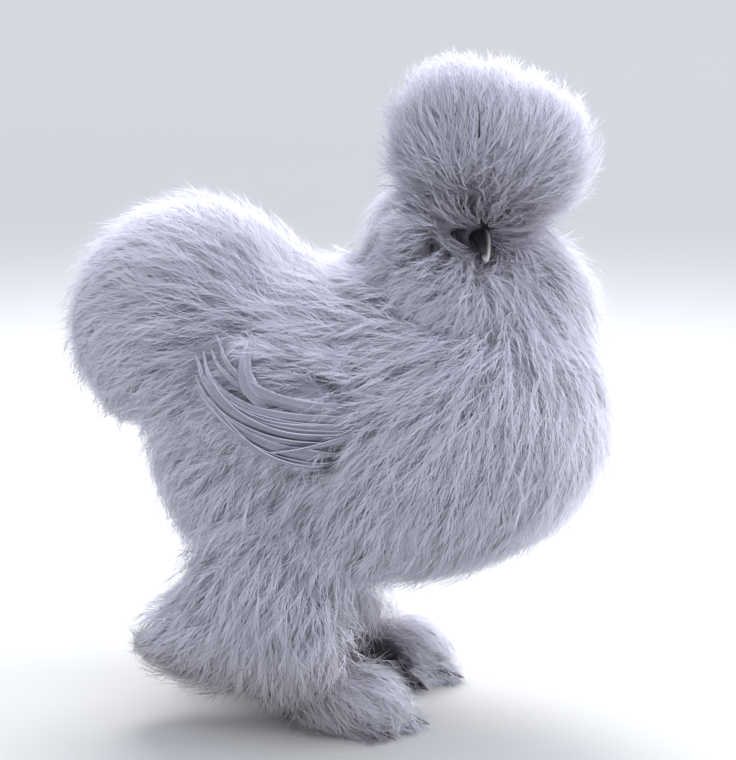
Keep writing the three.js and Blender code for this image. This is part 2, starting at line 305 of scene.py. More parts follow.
@dataclass(frozen=True)
class Bird:
    """The masses of the whole bird out to the tips of its plumage, and of its bare skin."""

    breast: Lobe = Lobe((37, 0, 151), (85, 75, 77))
    bib: Lobe = Lobe((56, 3, 202), (56, 40, 44))
    belly: Lobe = Lobe((8, 0, 110), (66, 62, 45))
    saddle: Lobe = Lobe((-30, 0, 166), (64, 70, 61))
    cushion: Lobe = Lobe((-86, 0, 191), (64, 64, 62), dip=4)
    rump: Lobe = Lobe((-58, 0, 130), (53, 63, 58))
    hackle: Lobe = Lobe((42, 5, 226), (47, 37, 48))
    thigh: Lobe = Lobe((-42, 0, 74), (44, 33, 42))
    hock: Lobe = Lobe((-69, 0, 42), (41, 26, 26))
    shank: Lobe = Lobe((-28, 0, 34), (36, 25, 28))
    boot: Lobe = Lobe((8, 0, 16), (30, 19, 20))
    wing: Lobe = Lobe((-28, 58, 161), (48, 23, 32), dip=14)
    leg_place: tuple = ((Side.RIGHT, 0, -36), (Side.LEFT, 6, 36))
    foot_place: tuple = ((Side.RIGHT, -12, -31), (Side.LEFT, -5, 34))
    boot_out: float = 6.0

    ruff: Placement = Placement((52, -11, 242), turn=-68, dip=15, tilt=18)
    crest: Lobe = Lobe((-9, -4, 37), (43, 51.5, 39), square=2.4)
    chin: Lobe = Lobe((19, -1, -30), (28, 32, 27))
    muff: Lobe = Lobe((6, 25, -12), (22, 17, 20))

    head: Placement = Placement((50, -11, 242.5), turn=-61, dip=9, tilt=28)
    skull: Lobe = Lobe((-1, 0, 0), (18, 13, 14))
    face: Lobe = Lobe((9, 0, -2), (12, 9.5, 9.5))
    nape: Lobe = Lobe((-9, 0, -13), (13, 12, 15))
    eye: Point = (9, 9.2, 3)
    eye_radius: float = 4.2
    beak_root: Point = (17, 0, 4)
    beak_base: Lobe = Lobe((20.5, 0, -2), (6, 6.6, 5.4))
    brow_space: Lobe = Lobe((29, 0, -3), (13, 5.5, 6.5))
    gape_space: tuple = (
        Limb((23, -4.5, -4.5), (13, -9.5, -5.5), 5.0, 2.2),
        Limb((29, -9, -5), (18.5, -16.5, -6.5), 5.6, 2.8),
        Limb((35, -14, -4.5), (29, -17.5, -6), 5.0, 2.8),
    )
    instep: Lobe = Lobe((-2, 24, 12), (15, 10, 12))
    instep_space: Lobe = Lobe((5, 20, 15), (16, 11, 13))
    gape_corner: Lobe = Lobe((12, 8, -4.5), (7.5, 4.6, 4.4))
    gape_fold: tuple = ((16, 6.2, -3.6), (9, 8.6, -5.2), 1.3, 0.8)
    lid_ahead: float = 0.4
    lid_out: float = 2.4
    lid_radius: float = 3.6
    lid_thickness: float = 0.9
    lid_room: Point = (5.6, 4.5, 4.6)
    toe_cover: tuple = ((-32, 26), (0, 36), (30, 29))

    def foot(self, side: Side) -> Pair:
        """Where the ball of one foot stands, along X and Y."""
        return next((x, y) for each, x, y in self.foot_place if each is side)

    def body_form(self) -> Form:
        """Body, neck and legs as one form, out to the tips of the plumage.

        Returns:
            The form, in the bird's own frame.
        """
        legs = [
            lobe.moved(x, y)
            for _, x, y in self.leg_place
            for lobe in (self.thigh, self.hock, self.shank)
        ]
        trunk = [self.breast, self.bib, self.belly, self.saddle, self.cushion, self.rump, self.hackle]
        return Form(tuple(trunk + legs))

    def crest_form(self) -> Form:
        """The crest out to its tips."""
        return Form((self.crest,), placement=self.ruff)

    def beard_form(self) -> Form:
        """The beard and both muffs out to their tips."""
        return Form((self.chin, self.muff, self.muff.mirrored()), 10.0, self.ruff)

    def head_form(self) -> Form:
        """The bare head, with the rims of its eyelids and the folds at the corners of the gape.

        Returns:
            The form, placed on the bird.
        """
        folds = []
        x, y, z = self.eye
        (x1, y1, z1), (x2, y2, z2), *radii = self.gape_fold
        for side in Side:
            place = (x + self.lid_ahead, (y + self.lid_out) * side.value, z)
            folds.append(Rim(place, (0.25, side.value, 0.1), self.lid_radius, self.lid_thickness))
            folds.append(Limb((x1, y1 * side.value, z1), (x2, y2 * side.value, z2), *radii))
        return Form((self.skull, self.face, self.nape, *folds), 4.0, self.head)

    def mouth_space(self) -> Form:
        """The space in front of the beak and the corner of the gape, which no plume crosses."""
        return Form((self.brow_space, *self.gape_space), 3.0, self.head)

    def instep_room(self) -> Form:
        """The hollow on the inside of the left foot, where its bare skin shows."""
        return Form((self.instep_space,))

    def face_cover(self) -> Carved:
        """The outside of the plumage round the face, with room for the beak."""
        return Carved(Form((self.crest_form(), self.beard_form()), 14.0), self.mouth_space())

    def body_cover(self) -> Form:
        """The outside of the plumage of body and wings."""
        return Form((self.body_form(), *(self.wing_form(side) for side in Side)), 8.0)

    def bareness(self, points: Array, reach: float = 1.6) -> Array:
        """How near each point is to the bare places of the face and the left instep.

        Args:
            points: places on the bird.
            reach: how far outside them the value falls to nothing.

        Returns:
            A value for each point, 1 being in a bare place.
        """
        local = self.head.local(points)
        folded = local * (1, 0, 1) + np.abs(local) * (0, 1, 0)
        x, y, z = self.eye
        lids = Lobe((x + 1, y + 1, z), self.lid_room)
        bare = (self.beak_base, self.gape_corner, lids)
        gap = np.min([each.distance(folded) for each in bare], axis=0)
        gap = np.minimum(gap, self.instep.distance(points))
        return 1.0 - eased(gap, -0.8, reach)

    def wing_form(self, side: Side) -> Form:
        """One folded wing out to its tips."""
        return Form((self.wing if side is Side.LEFT else self.wing.mirrored(),))

    def boot_form(self, side: Side) -> Form:
        """The plumage over one foot out to its tips."""
        x, y = self.foot(side)
        return Form((self.boot.moved(x, y + self.boot_out * side.value),))

    def boot_cover(self, side: Side) -> Form:
        """The outside of the plumage over one foot and the tops of its toes.

        Args:
            side: which foot.

        Returns:
            The form, in the bird's own frame.
        """
        x, y = self.foot(side)
        toes = []
        for heading, length in self.toe_cover:
            way = math.radians(heading) * side.value
            end = (x + length * math.cos(way), y + length * math.sin(way), 3.0)
            toes.append(Limb((x, y, 6.0), end, 11.0, 7.0))
        return Form((self.boot_form(side), *toes), 6.0)


BIRD = Bird()


@dataclass(frozen=True)
class Toe:
    """One toe: the way it points in degrees, outwards being positive, its length and its rise."""

    name: str
    heading: float
    length: float
    rise: float = 0.0


@dataclass(frozen=True)
class Foot:
    """The bare foot of one side: ball, toes and the lower end of the shank."""

    side: Side
    toe_radius: float = 4.6
    toe_taper: float = 0.72
    sole_cut: float = 0.9
    shank_radius: float = 6.0
    shank_top: Point = (-16, 0, 34)
    toes: tuple = (
        Toe("hallux", -142, 17),
        Toe("inner", -32, 31),
        Toe("middle", 0, 40),
        Toe("outer", 30, 33),
        Toe("fifth", -172, 13, 22),
    )

    def place(self) -> Array:
        """The foot's own origin on the bird."""
        return np.array([*BIRD.foot(self.side), 0.0])

    def toe_height(self, toe: Toe) -> float:
        """How high the middle of a toe lies at its root."""
        return self.toe_radius * (2.0 if toe.rise else 1.0) - self.sole_cut

    def toe_way(self, toe: Toe) -> Array:
        """The direction of one toe on the bird.

        Args:
            toe: the toe.

        Returns:
            A direction of length one.
        """
        heading = math.radians(toe.heading) * self.side.value
        rise = math.radians(toe.rise)
        flat = math.cos(rise)
        return np.array([flat * math.cos(heading), flat * math.sin(heading), math.sin(rise)])

    def form(self) -> Form:
        """The foot as one form.

        Returns:
            The form, in the bird's own frame.
        """
        origin = self.place()
        knee = origin + np.array([self.shank_top[0] / 2, 0, self.shank_top[2] / 2])
        parts = [
            Limb(tuple(origin + (0, 0, 3.6)), tuple(knee), self.shank_radius, self.shank_radius),
            Limb(tuple(knee), tuple(origin + self.shank_top), self.shank_radius, self.shank_radius),
        ]
        tip_radius = self.toe_radius * self.toe_taper
        for toe in self.toes:
            start = origin + (0, 0, self.toe_height(toe))
            end = start + self.toe_way(toe) * toe.length
            parts.append(Limb(tuple(start), tuple(end), self.toe_radius, tip_radius))
        return Form(tuple(parts), 2.0)


# Meshes


@dataclass(frozen=True)
class Shape:
    """Points and faces of a mesh in the making.

    Its points may carry values, one number or one colour each, a place on the bake map and a
    direction for the shading.
    """

    points: Array
    faces: Array
    carried: dict[str, Array] = field(default_factory=dict)
    bake: Optional[Array] = None
    shade: Optional[Array] = None

    def triangulated(self) -> "Shape":
        """The same shape with its four-cornered faces cut in two."""
        return replace(self, faces=np.concatenate([self.faces[:, [0, 1, 2]], self.faces[:, [0, 2, 3]]]))

    def from_head(self) -> "Shape":
        """The same shape taken from the head's frame to the bird's."""
        return replace(self, points=BIRD.head.on_bird(self.points))


def joined(shapes: list[Shape]) -> Shape:
    """Several shapes as one, where all of them carry the same.

    Args:
        shapes: shapes that carry the same things.

    Returns:
        One shape with all of their points and faces.
    """

    def together(parts: list) -> Optional[Array]:
        """One part of every shape, one after the other."""
        return None if parts[0] is None else np.concatenate(parts)

    starts = np.cumsum([0] + [len(each.points) for each in shapes[:-1]])
    return Shape(
        together([each.points for each in shapes]),
        together([each.faces + start for each, start in zip(shapes, starts)]),
        {key: together([each.carried[key] for each in shapes]) for key in shapes[0].carried},
        together([each.bake for each in shapes]),
        together([each.shade for each in shapes]),
    )


def mesh_of(name: str, shape: Shape) -> bpy.types.Mesh:
    """Makes a smooth mesh of the part from a shape of the bird.

    Args:
        name: the mesh's name.
        shape: its points in millimetres, its faces and what its points carry.

    Returns:
        The mesh, which lies in the part's frame in metres.
    """
    mesh = bpy.data.meshes.new(name)
    count, corners = shape.faces.shape
    mesh.vertices.add(len(shape.points))
    places = (shape.points + BIRD_ORIGIN) * MM
    mesh.vertices.foreach_set("co", places.astype(np.float32).ravel())
    mesh.loops.add(count * corners)
    mesh.loops.foreach_set("vertex_index", shape.faces.astype(np.int32).ravel())
    mesh.polygons.add(count)
    mesh.polygons.foreach_set("loop_start", np.arange(0, count * corners, corners, dtype=np.int32))
    mesh.update(calc_edges=True)
    mesh.polygons.foreach_set("use_smooth", np.full(count, True))
    for key, numbers in shape.carried.items():
        kind, part = ("FLOAT", "value") if numbers.ndim == 1 else ("FLOAT_COLOR", "color")
        layer = mesh.attributes.new(key, kind, "POINT")
        layer.data.foreach_set(part, numbers.astype(np.float32).ravel())
    if shape.bake is not None:
        layer = mesh.uv_layers.new(name=BAKE_MAP)
        layer.data.foreach_set("uv", shape.bake[shape.faces.ravel()].astype(np.float32).ravel())
    mesh.validate()
    if shape.shade is not None:
        mesh.normals_split_custom_set_from_vertices(shape.shade.astype(np.float32))
    return mesh


def linked(name: str, data: bpy.types.ID) -> bpy.types.Object:
    """A new object in the scene.

    Args:
        name: the object's name.
        data: its mesh, light or camera.

    Returns:
        The object.
    """
    thing = bpy.data.objects.new(name, data)
    bpy.context.scene.collection.objects.link(thing)
    return thing


# Finishes


def feed(tree: Tree, node: Node, inputs: dict) -> Node:
    """Gives a node its inputs: a socket is linked, and a plain value is set.

    Args:
        tree: the node tree that the node is part of.
        node: the node.
        inputs: sockets, numbers or colours, by the name or number of the input.

    Returns:
        The same node.
    """
    for key, value in inputs.items():
        if isinstance(value, Socket):
            tree.links.new(value, node.inputs[key])
        else:
            node.inputs[key].default_value = value
    return node


def added(tree: Tree, kind: str, inputs: Optional[dict] = None, **settings: object) -> Node:
    """Adds a node.

    Args:
        tree: the node tree to add to.
        kind: the node's type.
        inputs: what its inputs are given, by name or number.
        settings: the node's own settings.

    Returns:
        The new node.
    """
    node = tree.nodes.new(kind)
    for key, value in settings.items():
        setattr(node, key, value)
    return feed(tree, node, inputs or {})


def mapped(tree: Tree, value: Socket, given: Pair, wanted: Pair) -> Socket:
    """Maps a value smoothly from one span to another.

    Args:
        tree: the node tree to add to.
        value: the value.
        given: the span that it comes from.
        wanted: the span that it goes to.

    Returns:
        The mapped value.
    """
    labels = ("Value", "From Min", "From Max", "To Min", "To Max")
    inputs = dict(zip(labels, (value, *given, *wanted)))
    return added(tree, "ShaderNodeMapRange", inputs, interpolation_type="SMOOTHSTEP").outputs["Result"]


def mixed(tree: Tree, share: Input, first: Input, second: Input, blend: str = "MIX") -> Socket:
    """Mixes two colours by the share of the second, in the way that blend names."""
    inputs = {"Factor": share, 6: first, 7: second}
    return added(tree, "ShaderNodeMix", inputs, data_type="RGBA", blend_type=blend).outputs[2]


def relief(tree: Tree, height: Socket, strength: float, depth: float) -> Socket:
    """The normals of fine relief of this height and strength, so many metres deep."""
    inputs = {"Strength": strength, "Distance": depth, "Height": height}
    return added(tree, "ShaderNodeBump", inputs).outputs["Normal"]


def carried(tree: Tree, name: str, output: str = "Fac") -> Socket:
    """Reads what a mesh's points carry: a number, or a colour where the output is Color."""
    return added(tree, "ShaderNodeAttribute", attribute_name=name).outputs[output]


class SharedGroup:
    """A node group that materials share, built where it is first placed."""

    name: str
    inputs: dict[str, float]
    outputs: dict[str, str]

    def place(self, tree: Tree, **inputs: Input) -> Sockets:
        """Adds the group to a material with these inputs, and gives back its outputs."""
        group = bpy.data.node_groups.get(self.name) or self._build()
        return added(tree, "ShaderNodeGroup", inputs, node_tree=group).outputs

    def _build(self) -> Tree:
        """Builds the group once.

        Returns:
            The group's node tree.
        """
        group = bpy.data.node_groups.new(self.name, "ShaderNodeTree")
        for label, value in self.inputs.items():
            socket = group.interface.new_socket(label, in_out="INPUT", socket_type="NodeSocketFloat")
            socket.default_value = value
        for label, kind in self.outputs.items():
            group.interface.new_socket(label, in_out="OUTPUT", socket_type=kind)
        given = added(group, "NodeGroupInput").outputs
        added(group, "NodeGroupOutput", self._results(group, given))
        return group

    def _results(self, group: Tree, given: Sockets) -> dict[str, Socket]:
        """Adds the nodes inside the group, and says which socket feeds each of its outputs."""
        raise NotImplementedError


class MarkingsAndShadeGroup(SharedGroup):
    """The bird's lavender markings and painted shade, shared by its skin, its plumes and its wing
    feathers.

    Along is how near a point is to the feather's tip, and Tone is how pale the feather is.
    Towards the root, where the coat shades itself, Along deepens the colour as painted shade.
    """

    name = "lavender_markings_and_shade"
    inputs = {"Along": 0.5, "Tone": 0.5}
    outputs = {"Color": "NodeSocketColor"}
    pale = (0.86, 0.86, 0.965, 1.0)
    deep = (0.63, 0.61, 0.735, 1.0)
    mask = (0.52, 0.49, 0.58, 1.0)
    soil_and_shade_colour = (0.55, 0.50, 0.50, 1.0)
    root_shade_span = (0.0, 0.6)
    cloud_scale = 42.0
    cloud_span = (0.35, 0.7)
    cloud_share = 0.30
    tone_share = 0.42
    dark_face_and_shade_share = 0.75
    dark_face_and_shade_reach = (0.012, 0.060)
    soil_and_shade_share = 0.8
    soil_and_shade_height = (0.012, 0.055)
    soil_and_shade_ahead = 0.15
    soil_and_shade_length = (-0.01, 0.045)

    def _results(self, group: Tree, given: Sockets) -> dict[str, Socket]:
        """Pales towards the tips, leaving painted shade at the roots, then adds clouds, painted shade
        round the beak, and darkening low down and most at the rear, which is partly dirt and partly
        painted shade.

        Args:
            group: the group's node tree.
            given: the sockets of the group's inputs.

        Returns:
            The sockets by the names of the outputs.
        """
        place = added(group, "ShaderNodeTexCoord").outputs["Object"]
        # Deep at the root and pale at the tip: painted shade inside the coat.
        along = mapped(group, given["Along"], self.root_shade_span, (0.0, 1.0))
        colour = mixed(group, along, self.deep, self.pale)

        noise = {"Vector": place, "Scale": self.cloud_scale, "Detail": 3.0}
        patches = added(group, "ShaderNodeTexNoise", noise).outputs["Fac"]
        cloud = mapped(group, patches, self.cloud_span, (0.0, self.cloud_share))
        dark = mapped(group, given["Tone"], (0.0, 1.0), (self.tone_share, 0.0))
        for share in (cloud, dark):
            colour = mixed(group, share, colour, self.deep)

        # Darker round the beak: painted shade over the plumes of the face, and on the skin under them
        # its darker face colour too.
        root = tuple((BIRD.head.on_bird(BIRD.beak_root) + BIRD_ORIGIN) * MM)
        away = added(group, "ShaderNodeVectorMath", {0: place, 1: root}, operation="DISTANCE")
        near = mapped(group, away.outputs["Value"], self.dark_face_and_shade_reach, (self.dark_face_and_shade_share, 0.0))
        colour = mixed(group, near, colour, self.mask)

        # Darker low down and most at the rear: partly dirt on the boots, partly painted shade near the
        # floor.
        apart = added(group, "ShaderNodeSeparateXYZ", {0: place}).outputs
        low = mapped(group, apart["Z"], self.soil_and_shade_height, (self.soil_and_shade_share, 0.0))
        rear = mapped(group, apart["X"], self.soil_and_shade_length, (1.0, self.soil_and_shade_ahead))
        soil_and_shade = added(group, "ShaderNodeMath", {0: low, 1: rear}, operation="MULTIPLY").outputs[0]
        return {"Color": mixed(group, soil_and_shade, colour, self.soil_and_shade_colour)}


class GrainGroup(SharedGroup):
    """Fine grain for skin and horn: a height, and a value for mottling.

    Scale is how fine the grain is, and Stretch how much finer it is upwards than across.
    """

    name = "fine_grain"
    inputs = {"Scale": 300.0, "Stretch": 1.0}
    outputs = {"Height": "NodeSocketFloat", "Mask": "NodeSocketFloat"}

    def _results(self, group: Tree, given: Sockets) -> dict[str, Socket]:
        """Adds cells and noise together.

        Args:
            group: the group's node tree.
            given: the sockets of the group's inputs.

        Returns:
            The sockets by the names of the outputs.
        """
        place = added(group, "ShaderNodeTexCoord").outputs["Object"]
        stretch = added(group, "ShaderNodeCombineXYZ", {0: 1.0, 1: 1.0, 2: given["Stretch"]}).outputs[0]
        scaled = added(group, "ShaderNodeVectorMath", {0: place, 1: stretch}, operation="MULTIPLY")
        grid = {"Vector": scaled.outputs[0], "Scale": given["Scale"]}
        cells = added(group, "ShaderNodeTexVoronoi", grid).outputs["Distance"]
        noise = added(group, "ShaderNodeTexNoise", {**grid, "Detail": 4.0}).outputs["Fac"]
        total = added(group, "ShaderNodeMath", {0: cells, 1: noise}, operation="ADD").outputs[0]
        return {"Height": total, "Mask": noise}


@dataclass(frozen=True)
class Finish:
    """A finish that every piece it is put on shares."""

    name: str
    roughness: float = 0.5
    specular: float = 0.5
    sheen: float = 0.0
    coat: float = 0.0

    def material(self) -> bpy.types.Material:
        """The material, made once.

        Returns:
            The material of this name.
        """
        if self.name in bpy.data.materials:
            return bpy.data.materials[self.name]
        material = bpy.data.materials.new(self.name)
        material.use_nodes = True
        tree = material.node_tree
        plain = {
            "Roughness": self.roughness,
            "Specular IOR Level": self.specular,
            "Sheen Weight": self.sheen,
            "Coat Weight": self.coat,
        }
        feed(tree, tree.nodes["Principled BSDF"], {**plain, **self._look(tree)})
        return material

    def _look(self, tree: Tree) -> dict[str, Input]:
        """What the main shader's inputs are given besides its plain numbers, by name."""
        raise NotImplementedError


def feather_marks_and_shade(tree: Tree) -> tuple[Socket, Socket]:
    """The markings' colour on a feather with its painted shade, and how near each point is to its pale
    rim.
    """
    apart = added(tree, "ShaderNodeSeparateColor", {0: carried(tree, "plume", "Color")}).outputs
    return MarkingsAndShadeGroup().place(tree, Along=apart[0], Tone=apart[1])["Color"], apart[2]


@dataclass(frozen=True)
class PlumeFinish(Finish):
    """Soft feather: dull, pale at the tips and deeper towards the skin as painted shade."""

    name: str = "silky_plume"
    roughness: float = 0.8
    specular: float = 0.2
    sheen: float = 0.2

    def _look(self, tree: Tree) -> dict[str, Input]:
        """The markings alone, with their painted shade."""
        return {"Base Color": feather_marks_and_shade(tree)[0]}


@dataclass(frozen=True)
class VaneFinish(Finish):
    """A wing feather: grey lavender, darkened partly as painted shade, with a pale frayed edge and a
    pale shaft.
    """

    name: str = "wing_vane"
    roughness: float = 0.6
    sheen: float = 0.15
    # Dark body colour: partly the feathers' own grey, partly painted shade over the folded wing.
    body: tuple = (0.15, 0.145, 0.195, 1.0)
    edge: tuple = (0.70, 0.69, 0.80, 1.0)
    share: float = 0.8

    def _look(self, tree: Tree) -> dict[str, Input]:
        """The markings deepened, partly as painted shade, with the pale edge and fine relief.

        Args:
            tree: the material's node tree.

        Returns:
            The inputs by name.
        """
        marked, rim = feather_marks_and_shade(tree)
        vane = mixed(tree, rim, mixed(tree, self.share, marked, self.body), self.edge)
        grain = GrainGroup().place(tree, Scale=900.0)
        return {"Base Color": vane, "Normal": relief(tree, grain["Height"], 0.25, 0.0003)}


@dataclass(frozen=True)
class SkinFinish(Finish):
    """Skin: under the plumage it carries the plumes' markings with painted shade and some slate, and
    bare it is dark slate.
    """

    name: str = "silkie_skin"
    slate: tuple = (0.028, 0.024, 0.032, 1.0)
    slate_pale: tuple = (0.055, 0.048, 0.062, 1.0)
    under_plumage: float = 0.1
    slate_share: float = 0.4
    dullness: Pair = (0.9, 0.5)

    def _look(self, tree: Tree) -> dict[str, Input]:
        """Slate where it is bare, and under the plumage the markings at their deep root shade with some
        slate, which is partly the skin's dark colour and partly painted shade between the plumes.

        Args:
            tree: the material's node tree.

        Returns:
            The inputs by name.
        """
        marked = MarkingsAndShadeGroup().place(tree, Along=self.under_plumage)["Color"]
        grain = GrainGroup().place(tree, Scale=420.0, Stretch=1.6)
        slate = mixed(tree, grain["Mask"], self.slate, self.slate_pale)
        bare = carried(tree, "bare")
        return {
            "Base Color": mixed(tree, bare, mixed(tree, self.slate_share, marked, slate), slate),
            "Roughness": mapped(tree, bare, (0.0, 1.0), self.dullness),
            "Normal": relief(tree, grain["Height"], 0.5, 0.0005),
        }


@dataclass(frozen=True)
class HornFinish(Finish):
    """Horn: slate blue, turning pale towards its tip; on the beak its pale colour also paints a
    highlight along the ridge.
    """

    name: str
    roughness: float = 0.24
    specular: float = 0.35
    dark: tuple = (0.013, 0.011, 0.016, 1.0)
    light: tuple = (0.47, 0.44, 0.44, 1.0)
    wear: float = 0.4

    def _look(self, tree: Tree) -> dict[str, Input]:
        """The horn's two colours, mottled, with long fine relief.

        Args:
            tree: the material's node tree.

        Returns:
            The inputs by name.
        """
        grain = GrainGroup().place(tree, Scale=700.0, Stretch=0.35)
        horn = mixed(tree, carried(tree, "tip"), self.dark, self.light)
        worn = mixed(tree, self.wear, horn, grain["Mask"], "MULTIPLY")
        return {"Base Color": worn, "Normal": relief(tree, grain["Height"], 0.1, 0.0002)}


@dataclass(frozen=True)
class CombFinish(Finish):
    """The walnut comb: dark mulberry, dull and pebbled."""

    name: str = "mulberry_comb"
    roughness: float = 0.55
    dark: tuple = (0.014, 0.010, 0.015, 1.0)
    light: tuple = (0.04, 0.028, 0.038, 1.0)

    def _look(self, tree: Tree) -> dict[str, Input]:
        """Mottled mulberry with relief.

        Args:
            tree: the material's node tree.

        Returns:
            The inputs by name.
        """
        grain = GrainGroup().place(tree, Scale=800.0)
        colour = mixed(tree, grain["Mask"], self.dark, self.light)
        return {"Base Color": colour, "Normal": relief(tree, grain["Height"], 0.4, 0.0003)}


@dataclass(frozen=True)
class EyeFinish(Finish):
    """A wet black eye: a pupil in an iris of very dark brown."""

    name: str = "dark_eye"
    roughness: float = 0.05
    coat: float = 1.0
    pupil: tuple = (0.002, 0.002, 0.002, 1.0)
    iris: tuple = (0.022, 0.012, 0.008, 1.0)
    iris_pale: tuple = (0.048, 0.026, 0.018, 1.0)

    def _look(self, tree: Tree) -> dict[str, Input]:
        """The pupil, and the fibres of the iris round it."""
        fibres = mixed(tree, GrainGroup().place(tree, Scale=1500.0)["Mask"], self.iris, self.iris_pale)
        return {"Base Color": mixed(tree, carried(tree, "iris"), self.pupil, fibres)}


@dataclass(frozen=True)
class FloorFinish(Finish):
    """The plain pale floor."""

    name: str = "pale_floor"
    roughness: float = 0.9
    colour: tuple = (0.50, 0.495, 0.485, 1.0)
    other: tuple = (0.485, 0.48, 0.47, 1.0)

    def _look(self, tree: Tree) -> dict[str, Input]:
        """Two tones in soft patches."""
        patches = added(tree, "ShaderNodeTexNoise", {"Scale": 30.0}).outputs["Fac"]
        return {"Base Color": mixed(tree, patches, self.colour, self.other)}


def make_piece(name: str, shape: Shape, finish: Finish, nodes: tuple[str, ...] = ()) -> None:
    """Makes a piece of the bird, attaches it where it belongs, and hides the nodes that it stands for.

    Args:
        name: the piece's name.
        shape: its shape.
        finish: the finish it is given.
        nodes: the nodes that it stands for, if any.
    """
    piece = linked(name, mesh_of(name, shape))
    piece.data.materials.append(finish.material())
    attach(piece, BODY)
    if nodes:
        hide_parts(*nodes)
    LOG.info("%s: %d faces", name, len(piece.data.polygons))


# The skin


class Coating(Enum):
    """What grows from each stretch of skin."""

    CREST = 0
    BEARD = 1
    BODY = 2
    BOOT_RIGHT = 3
    BOOT_LEFT = 4
    WING_RIGHT = 5
    WING_LEFT = 6
    HEAD = 7
    FOOT = 8


@dataclass
class Skin:
    """One skin for all the flesh. It lies inside the plumage by the plumage's depth.

    Its grid is coarse, and fine in the close stretches of its span along X, Y and Z.
    """

    body_depth: float = 15.0
    crest_depth: float = 17.0
    beard_depth: float = 11.0
    boot_depth: float = 9.0
    wing_depth: float = 14.0
    bare_reach: float = 6.0
    softness: float = 7.0
    span: tuple = ((-150.0, 125.0), (-82.0, 82.0), (-2.0, 312.0))
    close: tuple = (((-40.0, 84.0),), ((-58.0, 60.0),), ((-2.0, 15.0), (226.0, 262.0)))
    coarse: float = 3.2
    fine: float = 1.2
    layers: int = 12
    pull: float = 0.9
    flesh: tuple = (
        "head", "crest", "beard", "neck", "trunk", "tail",
        "wing_right", "wing_left", "thigh_right", "thigh_left",
        "shank_right", "shank_left", "boot_right", "boot_left", "foot_right", "foot_left",
    )

    def __post_init__(self) -> None:
        """Gathers the forms that the skin is made of, each with the depth of its plumage."""
        self.parts: dict[Coating, tuple[Form, float]] = {
            Coating.CREST: (BIRD.crest_form(), self.crest_depth),
            Coating.BEARD: (BIRD.beard_form(), self.beard_depth),
            Coating.BODY: (BIRD.body_form(), self.body_depth),
            Coating.BOOT_RIGHT: (BIRD.boot_form(Side.RIGHT), self.boot_depth),
            Coating.BOOT_LEFT: (BIRD.boot_form(Side.LEFT), self.boot_depth),
            Coating.WING_RIGHT: (BIRD.wing_form(Side.RIGHT), self.wing_depth),
            Coating.WING_LEFT: (BIRD.wing_form(Side.LEFT), self.wing_depth),
            Coating.HEAD: (BIRD.head_form(), 0.0),
        }
        self.feet: list[Form] = [Foot(side).form() for side in Side]

    def distances(self, points: Array) -> Array:
        """How far each point lies outside each part of the skin, one part to a column.

        Args:
            points: places in millimetres.

        Returns:
            The distances, one row for each point.
        """
        columns = [form.distance(points) + depth for form, depth in self.parts.values()]
        foot = np.minimum(self.feet[0].distance(points), self.feet[1].distance(points))
        columns.append(np.maximum(foot, -points[..., 2]))
        return np.stack(columns, axis=-1)

    def distance(self, points: Array) -> Array:
        """How far each point lies outside the whole skin.

        Args:
            points: places in millimetres.

        Returns:
            One distance for each point, in millimetres.
        """
        columns = self.distances(points)
        nearest = columns[..., 0]
        for i in range(1, columns.shape[-1] - 1):
            nearest = run_together(nearest, columns[..., i], self.softness)
        return np.minimum(nearest, columns[..., -1])

    def build(self) -> Shape:
        """Makes the skin, and gives back its shape for the plumage to grow from.

        Returns:
            The skin's shape.
        """
        marks = [self._marks(*span, close) for span, close in zip(self.span, self.close)]
        grid = np.stack(np.meshgrid(*marks, indexing="ij"), axis=-1)
        values = np.concatenate([self.distance(layer) for layer in np.array_split(grid, self.layers)])
        points, faces = wrapped(values, marks)
        for _ in range(3):
            out = outward(self.distance, points)
            points = points - self.distance(points)[:, None] * out * self.pull
        shape = Shape(points, faces, {"bare": self._bare(points)})
        make_piece("skin", shape, SkinFinish(), self.flesh)
        return shape

    def _marks(self, low: float, high: float, close: tuple) -> Array:
        """Marks along one axis, nearer to each other in the close stretches.

        Args:
            low: where the marks begin.
            high: where they end.
            close: the close stretches.

        Returns:
            The marks in rising order.
        """
        marks = [low]
        while marks[-1] < high:
            near = any(start <= marks[-1] < end for start, end in close)
            marks.append(marks[-1] + (self.fine if near else self.coarse))
        return np.array(marks)

    def _bare(self, points: Array) -> Array:
        """How bare the skin is at each point: 1 on face and feet, 0 under plumage.

        Args:
            points: places in millimetres.

        Returns:
            One value for each point.
        """
        columns = self.distances(points)
        feathered = np.min(columns[:, : Coating.FOOT.value], axis=1)
        foot = eased(feathered - columns[:, Coating.FOOT.value], -1.0, 2.5)
        return np.maximum(foot, BIRD.bareness(points, self.bare_reach))


